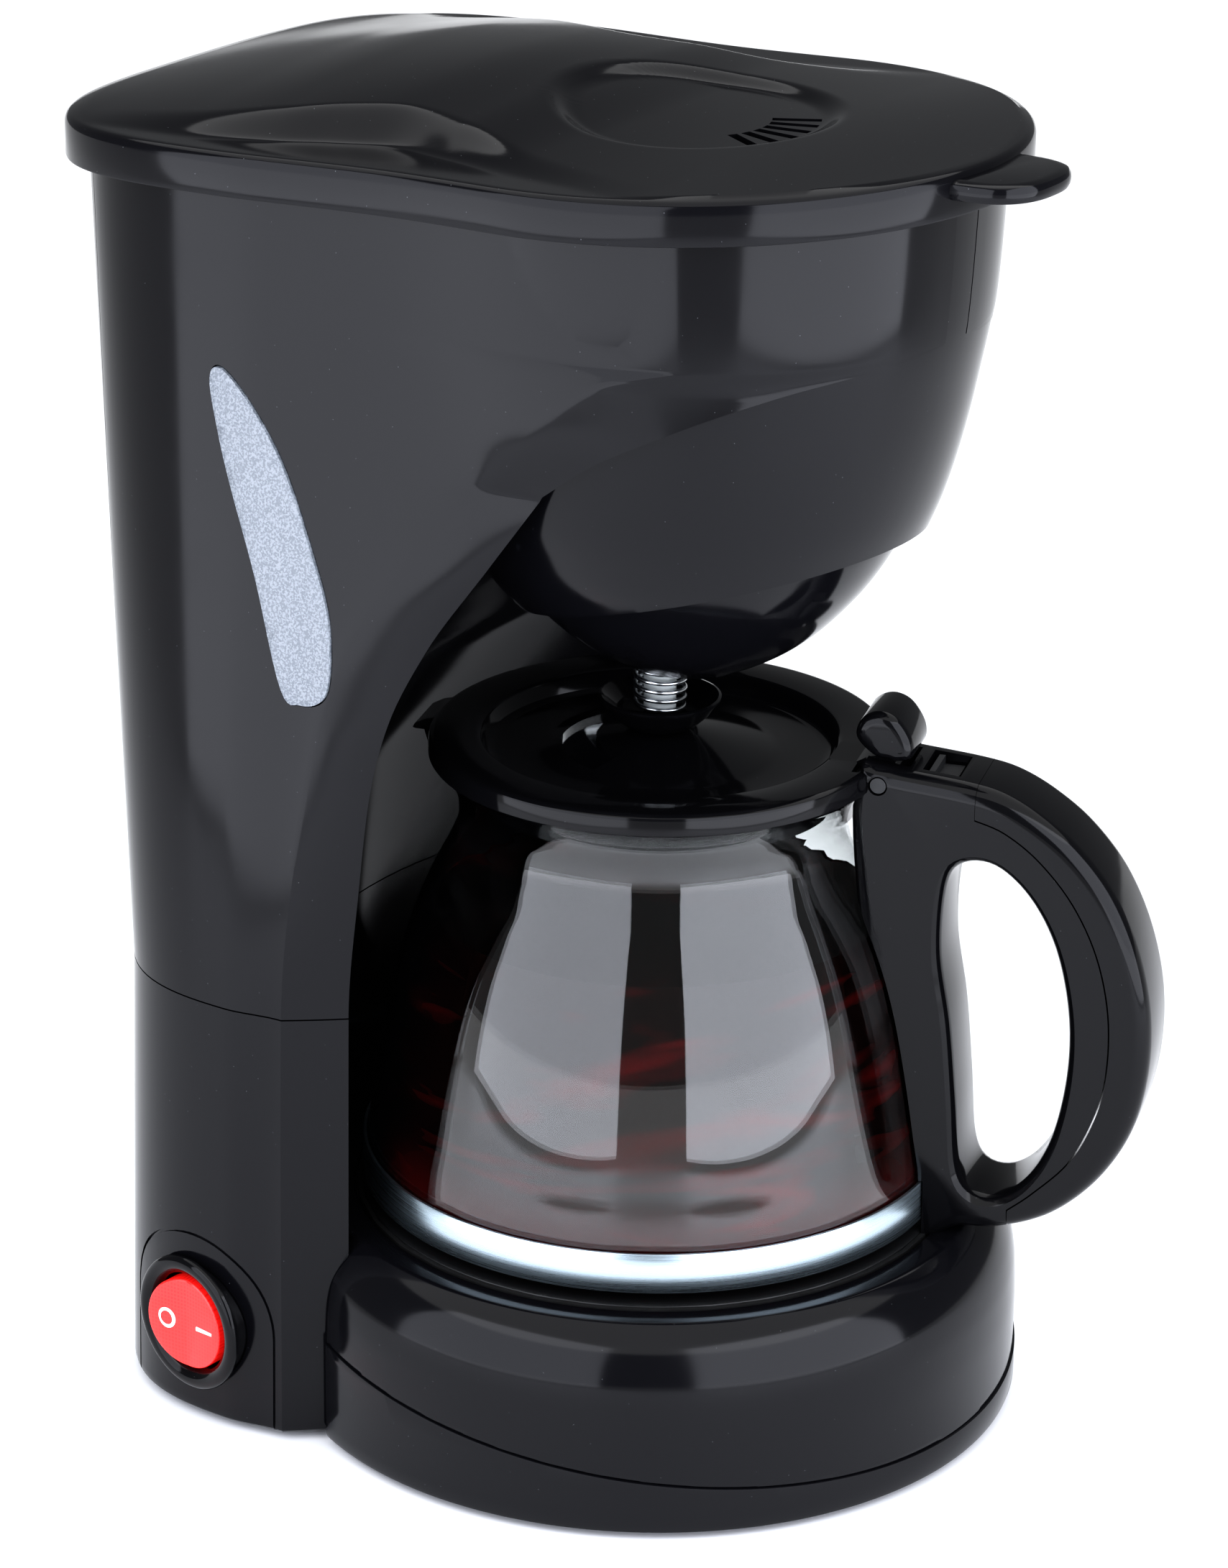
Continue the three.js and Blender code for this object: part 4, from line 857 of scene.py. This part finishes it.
def topLid():
    # rows are (share of the outline, its offset, height): under the top, round the skirt, over the top
    out, wall, edge = lid["overhang"], lid["wall"], lid["edge"]
    low = edge - lid["skirt"]
    shares = list(np.linspace(0, 1, lid["rows"] + 1))[:-1]
    under = [(share, out - wall, lambda x, y: lidRise(x, y) - wall) for share in shares]
    over = [(share, out - 1.6, lidRise) for share in shares[::-1]]
    skirt = [(out - wall, edge - wall), (out - wall, low), (out - 0.5, low), (out - 0.12, low + 0.15),
             (out, low + 0.5), (out, edge - 1.6), (out - 0.3, edge - 0.7), (out - 0.9, edge - 0.15),
             (out - 1.6, edge)]
    outlines = {}
    rings = []
    for share, offset, height in [*under, *[(1.0, *q) for q in skirt], *over]:
        if offset not in outlines:
            half = lidOutline(offset)
            outlines[offset] = [*half, *[(-x, y) for x, y in half[1:-1][::-1]]]
        ring = []
        for px, py in outlines[offset]:
            x = px * share
            y = lid["recessY"] + (py - lid["recessY"]) * share
            rise = height(x, y) if callable(height) else height
            ring.append((x, y, tower["rim"] - tower["rimSlope"] * y + rise))
        rings.append(ring)
    rings[0] = [rings[0][0]] * len(rings[0])
    rings[-1] = [rings[-1][0]] * len(rings[-1])
    skin = stacked("topLid", rings, ends=False)
    combined(skin, [thumbTab(), *[hingeEar(side) for side in (-1, 1)]], "UNION")
    combined(skin, [*[steamSlot(i) for i in range(lid["slots"])], *[earBore(side) for side in (-1, 1)]])
    return finished(skin, "lid", materials["lid"], ["top_lid"], 32)


def steamSlot(i):
    near, far, half = lid["floor"] - 9.5, lid["floor"] - 0.2, 1.0
    turn = math.radians(-90 + lid["spread"] * (i - (lid["slots"] - 1) / 2))
    plan = swung([(near, -half), (far, -half), (far, half), (near, half)], turn, lid["recessY"])
    return upright("slot", plan, 255, 290)


def thumbTab():
    # a wedge with a rounded nose, thick at the skirt and thin at the tip
    root = tower["headCentre"] - lid["headRadius"] * tower["headStretch"] - lid["overhang"] + 2
    reach = lid["tab"] + 2
    steps = 40
    plan = []
    for i in range(steps + 1):
        a = math.pi * i / steps
        side = math.copysign(abs(math.cos(a)) ** 0.8, math.cos(a))
        plan.append((lid["tabHalf"] * side, root + 0.8 - reach * math.sin(a) ** 0.62))
    level = tower["rim"] - tower["rimSlope"] * root + lid["edge"] - 3.2
    middle = root - 1.0
    rings = []
    for z, inset in ((-1.8, 1.1), (-1.6, 0.45), (-0.9, 0.1), (0, 0), (0.8, 0.12), (1.4, 0.5), (1.7, 1.3),
                     (1.85, 2.4)):
        ring = []
        for x, y in plan:
            share = max(0.0, 1 - inset / (math.hypot(x, y - middle) or 1))
            ny = middle + (y - middle) * share
            ring.append((x * share, ny, level + z + (root - ny) * 0.03))
        rings.append(ring)
    return stacked("tab", rings)


def hingeEar(side):
    x0, x1 = sorted((side * (hinge["to"] + 0.3), side * hinge["ear"]))
    web = block("web", x0, x1, hinge["y"] - 1, hinge["y"] + 1.6, hingeZ, hingeZ + 5)
    return combined(crossBar("ear", x0, x1, hinge["barrel"]), [web], "UNION")


def earBore(side):
    return crossBar("bore", side * hinge["to"], side * (hinge["ear"] + 1), hinge["pin"])


topLid()
print("lid made")

# switch and water window
def switchBezel():
    inner, seat = switch["button"] + 0.7, switch["seat"]
    profile = [(inner, -8), (12.6, -8), (12.6, seat), (14.0, seat), (14.2, seat + 0.2), (14.2, seat + 0.7),
               (13.9, seat + 1.2), (13.3, seat + 1.55), (12.6, seat + 1.65), (11.8, seat + 1.5),
               (11.2, seat + 1.1), (inner + 0.3, seat + 0.5), (inner, seat - 0.2), (inner, -8)]
    bezel = onSide(turned("switchBezel", profile, 120))
    return finished(bezel, "machine", materials["jug"], ["switch_bezel"], 40)


def tipped(obj):
    tilt = Matrix.Rotation(math.radians(switch["tilt"]), 4, "X")
    return onSide(moved(obj, shift(0, 0, switch["seat"]) @ tilt @ Matrix.Rotation(math.pi / 2, 4, "Z")))


def switchRocker():
    # a shallow V across the face, the rear half standing proud
    r = switch["button"]
    disc = rod("switchRocker", r, -2.4, 5, 120)
    ring = [(-12, 8), (-12, 2.55), (-r, 2.3), (0, 1.2), (r, 2.3), (12, 2.55), (12, 8)]
    notch = stacked("face", [[(x, y, z) for x, z in ring] for y in (-14, 14)])
    combined(disc, [notch])
    bevelled(disc, 0.45, 3, 40)
    combined(disc, [ringMark("mark", 1.4, 6), barMark("mark", 1.5, 6)])
    return finished(tipped(disc), "rocker", materials["red"], ["switch_rocker"], 35)


def ringMark(name, low, high):
    return moved(washer(name, 1.5, 2.2, low, high), shift(4.9, 0, 0))


def barMark(name, low, high):
    return block(name, -7.4, -3.0, -0.4, 0.4, low, high)


def markFill():
    # white paint in the two marks
    paint = combined(ringMark("markFill", 1.48, 1.8), [barMark("line", 1.5, 1.82)], "UNION")
    return finished(tipped(paint), "rocker", materials["mark"], (), 35)


def waterWindow():
    rows = levels(140, 225, 2.2)
    skin = towerSkin("waterWindow", rows, window["proud"])
    combined(skin, [towerSkin("inner", rows, -window["sunk"])])
    combined(skin, [windowPane(0)], "INTERSECT")
    bevelled(skin, 0.5, 3, 50)
    return finished(skin, "machine", materials["frosted"], ["water_window"], 35)


switchBezel()
switchRocker()
markFill()
waterWindow()
print("switch and window made")

# glass jug, drawn with its handle towards the front and then turned
jug = {"base": 43.3, "height": 91.7, "wall": 1.9, "fill": 61.0, "coffeeGap": 0.06, "spout": 5.6,
       "bandLow": 45.6, "bandHigh": 53.9, "bandRadius": 58.9}
glassSide = smoothTable([(1.2, 54.6), (4.2, 57), (9, 57.9), (22, 56.2), (33, 54.4), (46, 51.8), (57, 48.6),
                         (67, 44.4), (73.5, 41.2), (79, 39.4), (82, 39.3), (85, 40), (88.4, 41.4),
                         (jug["height"], 43.4)])


def spouted(obj):
    # pulls the back of the neck out into the pouring lip
    for vertex in obj.data.vertices:
        x, y = (vertex.co.x - axisX) * 1000, (vertex.co.y - axisY) * 1000
        z = vertex.co.z * 1000
        r = math.hypot(x, y)
        if r < 1:
            continue
        pull = max(0, 1 - abs(math.atan2(x, y)) / 0.5) ** 1.6
        pull *= float(smoothStep(jug["base"] + 77, jug["base"] + 92, z))
        longer = 1 + jug["spout"] * pull / r
        vertex.co = (axisX + x * longer * 0.001, axisY + y * longer * 0.001, (z + 1.2 * pull) * 0.001)
    return obj


def inJug(obj):
    return moved(obj, Matrix.Rotation(jugTurn, 4, "Z"))


def wallLine(inset, low, high, step=1.6):
    return [(float(glassSide(h)) - inset, jug["base"] + h) for h in levels(low, high, step)]


def jugGlass():
    base = jug["base"]
    outer = [(0, base), (48, base), (51.6, base + 0.15), *wallLine(0, 1.2, jug["height"])]
    rim = [(42.9, base + 92.2), (42.1, base + 92.1)]
    inner = [*wallLine(jug["wall"], 5, 91.2)[::-1], (53, 46.6), (50.5, 45.5), (47, 45.2), (0, 45.2)]
    glass = spouted(turned("jugGlass", [*outer, *rim, *inner], 160))
    return finished(inJug(glass), "jug", materials["glass"], ["jug_glass"], 50)


def coffee():
    gap = jug["coffeeGap"]
    side = wallLine(jug["wall"] + gap, 5, jug["fill"])
    reach, top = side[-1]
    profile = [(0, 45.2 + gap), (47, 45.2 + gap), (50.4, 45.5 + gap), (52.9, 46.65 + gap), *side,
               (reach - 0.4, top - 0.35), (0, top - 0.4)]
    return finished(inJug(turned("coffee", profile, 160)), "jug", materials["coffee"], (), 40)


def jugBand():
    low, high, r = jug["bandLow"], jug["bandHigh"], jug["bandRadius"]
    profile = [(r - 0.7, low), (r - 0.15, low), (r, low + 0.2), (r, high - 0.2), (r - 0.15, high),
               (r - 0.7, high), (r - 0.7, low)]
    band = inJug(turned("jugBand", profile, 200))
    return finished(band, "jug", materials["band"], ["jug_band"], 40)


def blackJugPiece(obj, node, angle):
    return finished(inJug(obj), "jug", materials["jug"], [node], angle)


handle = {"half": 10.0, "edge": 3.4, "arm": 5.2, "pin": (46.6, 137.2), "pinHole": 1.9, "screw": 63.0,
          "gap": 0.3}
handleOutline = [(42, 118), (42, 139.6), (46, 141), (51, 140.4), (64, 139.2), (71.5, 137.6), (79, 133.8),
                 (86.5, 128), (93.5, 119.4), (98.8, 108), (101.8, 95), (101.9, 82), (99.2, 69.5),
                 (93.2, 58.6), (84.6, 50.2), (75, 45.8), (66, 44.6), (52, 44.6)]
handleHole = [(60.5, 117), (63.5, 122.4), (70, 122.8), (77, 117), (82.5, 107), (85.6, 93.5), (85.8, 80),
              (83.4, 66.5), (79, 57.4), (73.4, 52.6), (68, 52.8), (65.2, 58), (64, 72), (62.4, 88), (60, 103)]
gripInside = [(66, 132.6), (72, 130.6), (79, 125.6), (86, 117.4), (91.2, 107), (94, 95), (94.2, 82.6),
              (92.2, 72.4), (87.6, 62.4), (80.6, 54.6), (75.6, 50.2)]


def across(name, side, sections):
    # a side view of (reach, height) points; sections are (x, growth) pairs along the width
    ring = np.array(side)
    sign = 1 if signedArea(ring) > 0 else -1
    rings = [[(x, -r, z) for r, z in grown(ring, sign * growth)] for x, growth in sections]
    return stacked(name, rings)


def softSections(half, radius):
    # growth along the width of a bar with rounded edges
    turns = np.linspace(0, math.pi / 2, 7)
    side = [(-half + radius * (1 - math.sin(a)), -radius * (1 - math.cos(a))) for a in turns[::-1]]
    return [*side, *[(-x, g) for x, g in side[::-1]]]


def fullHandle():
    outer = spaced(rounded(handleOutline, 6, True), 1.3)
    hole = spaced(rounded(handleHole, 6, True), 1.2)
    half = handle["half"]
    bar = across("handle", outer, softSections(half, handle["edge"]))
    flare = [(-half - 1, 2.2), (-half, 1.6), (-half + 0.7, 0.8), (-half + 1.6, 0.25), (-half + 2.8, 0)]
    opening = across("opening", hole, [*flare, *[(-x, g) for x, g in flare[::-1]]])
    return combined(bar, [opening])


def gripPrism(margin):
    # everything outside the seam between handle and grip
    inside = sideways(rounded(gripInside, 6), margin)
    ring = [(inside[0][0], 150), *[tuple(q) for q in inside], (inside[-1][0], 40), (120, 40), (120, 150)]
    return sidePrism("gripPrism", [(-r, z) for r, z in ring], -30, 30)


def glassRoom(margin):
    side = wallLine(-margin, 1.2, jug["height"])
    return turned("glassRoom", [(0, 41), (side[0][0], 41), *side, (side[-1][0], 150), (0, 150)], 128)


def pinBar():
    reach, height = handle["pin"]
    bar = rod("pin", handle["pinHole"], -15, 15, 32)
    return moved(bar, shift(0, -reach, height) @ Matrix.Rotation(math.pi / 2, 4, "Y"))


def jugHandle():
    arm = handle["arm"] + handle["gap"]
    screw = turned("screw", [(0, 43.6), (2.9, 43.6), (2.9, 46.7), (1.6, 46.7), (1.6, 54.4), (0, 54.4)], 32)
    moved(screw, shift(0, -handle["screw"], 0))
    bandRoom = rod("bandRoom", jug["bandRadius"] + handle["gap"], 41, jug["bandHigh"] + handle["gap"], 160)
    parts = [gripPrism(handle["gap"]), glassRoom(0.5), bandRoom,
             block("armSlot", -arm, arm, -52, -30, 131.5, 150),
             block("clipNotch", -arm, arm, -62, -54.5, 136.4, 150), pinBar(), screw]
    return blackJugPiece(combined(fullHandle(), parts), "jug_handle", 32)


def handleGrip():
    return blackJugPiece(combined(fullHandle(), [gripPrism(0.0)], "INTERSECT"), "handle_grip", 32)


jugCover = {"plane": 135.4, "top": 139.8, "boss": 140.3, "beakHalf": 6, "leverHalf": 7.5}


def neckRoom(margin):
    outer = wallLine(-margin, 79, jug["height"])
    inner = wallLine(jug["wall"] + margin, 79, jug["height"])
    rim = jug["base"] + jug["height"] + margin
    profile = [*outer, (outer[-1][0], rim), (inner[-1][0], rim), *inner[::-1], outer[0]]
    return spouted(turned("neckRoom", profile, 128))


def crescentVent(side):
    # curved slot beside the cone
    inner = [(12.5 * math.cos(a), 12.5 * math.sin(a)) for a in np.linspace(0.9, 2.25, 24)]
    outer = [(19.5 * math.cos(a), 19.5 * math.sin(a)) for a in np.linspace(1.0, 2.15, 24)]
    return upright("vent", swung([*inner, *outer[::-1]], 0.55 * side), 125, 150)


def jugLid():
    plane, top, boss = jugCover["plane"], jugCover["top"], jugCover["boss"]
    profile = [(0, boss - 1.6), (6, boss - 1.6), (24, plane - 1.4), (32.6, plane - 1.2), (34.4, plane + 0.4),
               (34.4, 128.6), (36, 128.6), (36, plane + 0.4), (44.4, plane + 1), (44.4, plane), (45.4, plane),
               (45.6, plane + 0.3), (45.6, top - 1.3), (45.4, top - 0.6), (44.9, top - 0.15), (44.2, top),
               (36.4, top), (35.6, top - 0.25), (35, top - 0.9), (33.9, plane + 1.4), (33.0, plane + 0.9),
               (32, plane + 0.8), (24.6, plane + 0.6), (22.4, plane + 0.95), (8, boss - 0.35), (6, boss),
               (0, boss)]
    cover = turned("jugLid", profile, 160)
    half = handle["half"] + handle["gap"]
    combined(cover, [block("ear", -half, half, -60, -41.4, 120, 150), crescentVent(1), crescentVent(-1)])
    beakLine = [(-38, plane + 1.4), (-38, top), (-44, top - 0.15), (-46.4, top - 0.7), (-48.8, plane + 2.4),
                (-49.2, plane + 1.6), (-48.6, plane + 1.4)]
    beak = across("beak", beakLine, [(-jugCover["beakHalf"], 0), (jugCover["beakHalf"], 0)])
    armLine = [(35.6, plane + 1.8), (40, 134.4), (handle["pin"][0], 133.6), (49.2, 135), (50.4, 137.4),
               (49.8, 139.4), (48.2, 141), (45.8, 141.7), (43.4, 141.2), (41, top), (35.6, top)]
    wide = handle["arm"]
    arm = across("arm", armLine, [(-wide, -0.4), (-wide + 0.4, 0), (wide - 0.4, 0), (wide, -0.4)])
    combined(cover, [beak, arm], "UNION")
    combined(cover, [pinBar(), neckRoom(0.3)])
    return blackJugPiece(cover, "jug_lid", 30)


def thumbLever():
    drop = [(44.6, 142.2), (41.2, 145.6), (42.2, 149.4), (45.6, 151.2), (49.4, 150), (52.2, 146),
            (52.4, 142.4), (49.6, 141.3), (47.6, 141.6)]
    side = spaced(rounded(drop, 8, True), 0.5)
    lever = across("thumbLever", side, softSections(jugCover["leverHalf"], 2.2))
    return blackJugPiece(lever, "thumb_lever", 40)


jugGlass()
coffee()
jugBand()
jugHandle()
handleGrip()
jugLid()
thumbLever()
print("jug made")

# pieces that keep their drawn shape
kept = {
    "matt": ("matt_black_plastic", ["base_plate", "spray_head", "filter_bail", "switch_body", "cord_gland",
                                    "filter_basket", "lid_clip", "jug_pin"]),
    "rubber": ("rubber_feet", ["foot_front_left", "foot_front_right", "foot_rear_left", "foot_rear_right"]),
    "steel": ("steel_wire", ["base_screw_1", "base_screw_2", "base_screw_3", "base_screw_4", "thermostat",
                             "band_screw", "lid_pin_left", "lid_pin_right"]),
    "silicone": ("silicone", ["cold_hose", "hot_hose", "drip_seal"]),
    "seal": ("silicone", ["plate_seal"]),
    "aluminium": ("cast_aluminium", ["heater_tube"]),
    "milky": ("milky_plastic", ["thermal_fuse", "check_valve", "riser_tube", "filter_mesh"]),
    "tank": ("frosted_plastic", ["water_tank"]),
}
for look, (slotName, names) in kept.items():
    for name in names:
        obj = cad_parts[name]
        dressed(obj.data, materials[look], 32)
print("small pieces dressed")

# camera, light and floor
view = {"lens": 122.5, "shift": 0.0085, "place": (-821.9, -538.1, 517.4),
        "forward": (0.7725, 0.5157, -0.3706), "side": (0.559, -0.8291, 0.0114)}


def addCamera():
    data = bpy.data.cameras.new("camera")
    data.lens = view["lens"]
    data.sensor_fit = "VERTICAL"
    data.sensor_height = 36
    data.clip_start = 0.05
    data.shift_y = view["shift"]
    camera = bpy.data.objects.new("camera", data)
    bpy.context.scene.collection.objects.link(camera)
    forward = Vector(view["forward"]).normalized()
    side = Vector(view["side"])
    right = (side - forward * side.dot(forward)).normalized()
    top = right.cross(forward)
    place = Vector(placed([view["place"]])[0])
    camera.matrix_world = Matrix.Translation(place) @ Matrix((right, top, -forward)).transposed().to_4x4()
    bpy.context.scene.camera = camera


studio = {"world": 0.2, "floor": "#f7f8fa", "floorHalf": 5.0, "sky": 2.5, "skyAngle": 95,
          "panel": 5.0, "tint": "#f1f4ff", "width": 0.62, "tall": 0.64, "reach": 0.5, "height": 0.33,
          "middle": -146.5, "spread": 45.0}


def addPanel(name, side, share):
    # a tall lit panel on the camera's side of the machine, facing it
    light = bpy.data.lights.new(name, "AREA")
    light.shape = "RECTANGLE"
    light.size = studio["width"]
    light.size_y = studio["tall"]
    light.energy = studio["panel"] * share
    light.color = linear(studio["tint"])[:3]
    obj = bpy.data.objects.new(name, light)
    bpy.context.scene.collection.objects.link(obj)
    a = math.radians(studio["middle"] + side * studio["spread"])
    place = Vector((studio["reach"] * math.cos(a), studio["reach"] * math.sin(a), studio["height"]))
    direction = Vector((0, 0, studio["height"])) - place
    obj.matrix_world = Matrix.Translation(place) @ direction.to_track_quat("-Z", "Y").to_matrix().to_4x4()
    obj.visible_camera = False


def addStudio():
    scene = bpy.context.scene
    scene.view_settings.view_transform = "Standard"
    scene.view_settings.look = "Medium High Contrast"
    world = bpy.data.worlds.new("studio")
    scene.world = world
    world.use_nodes = True
    back = world.node_tree.nodes["Background"]
    back.inputs["Color"].default_value = (0.95, 0.97, 1.0, 1.0)
    back.inputs["Strength"].default_value = studio["world"]
    floorMesh = bpy.data.meshes.new("floor")
    far = studio["floorHalf"]
    corners = [(-far, -far, 0), (far, -far, 0), (far, far, 0), (-far, far, 0)]
    floorMesh.from_pydata(corners, [], [(0, 1, 2, 3)])
    floor = bpy.data.objects.new("floor", floorMesh)
    scene.collection.objects.link(floor)
    paint = newMaterial("paleFloor", {"Base Color": linear(studio["floor"]), "Roughness": 0.6})[0]
    floorMesh.materials.append(paint)
    # two tall panels stand either side of the camera, with a dark gap between them
    addPanel("leftPanel", -1, 0.8)
    addPanel("rightPanel", 1, 1.0)
    # a wide soft sky keeps the floor evenly white
    data = bpy.data.lights.new("sky", "SUN")
    data.energy = studio["sky"]
    data.angle = math.radians(studio["skyAngle"])
    scene.collection.objects.link(bpy.data.objects.new("sky", data))


addCamera()
addStudio()
print("studio made")

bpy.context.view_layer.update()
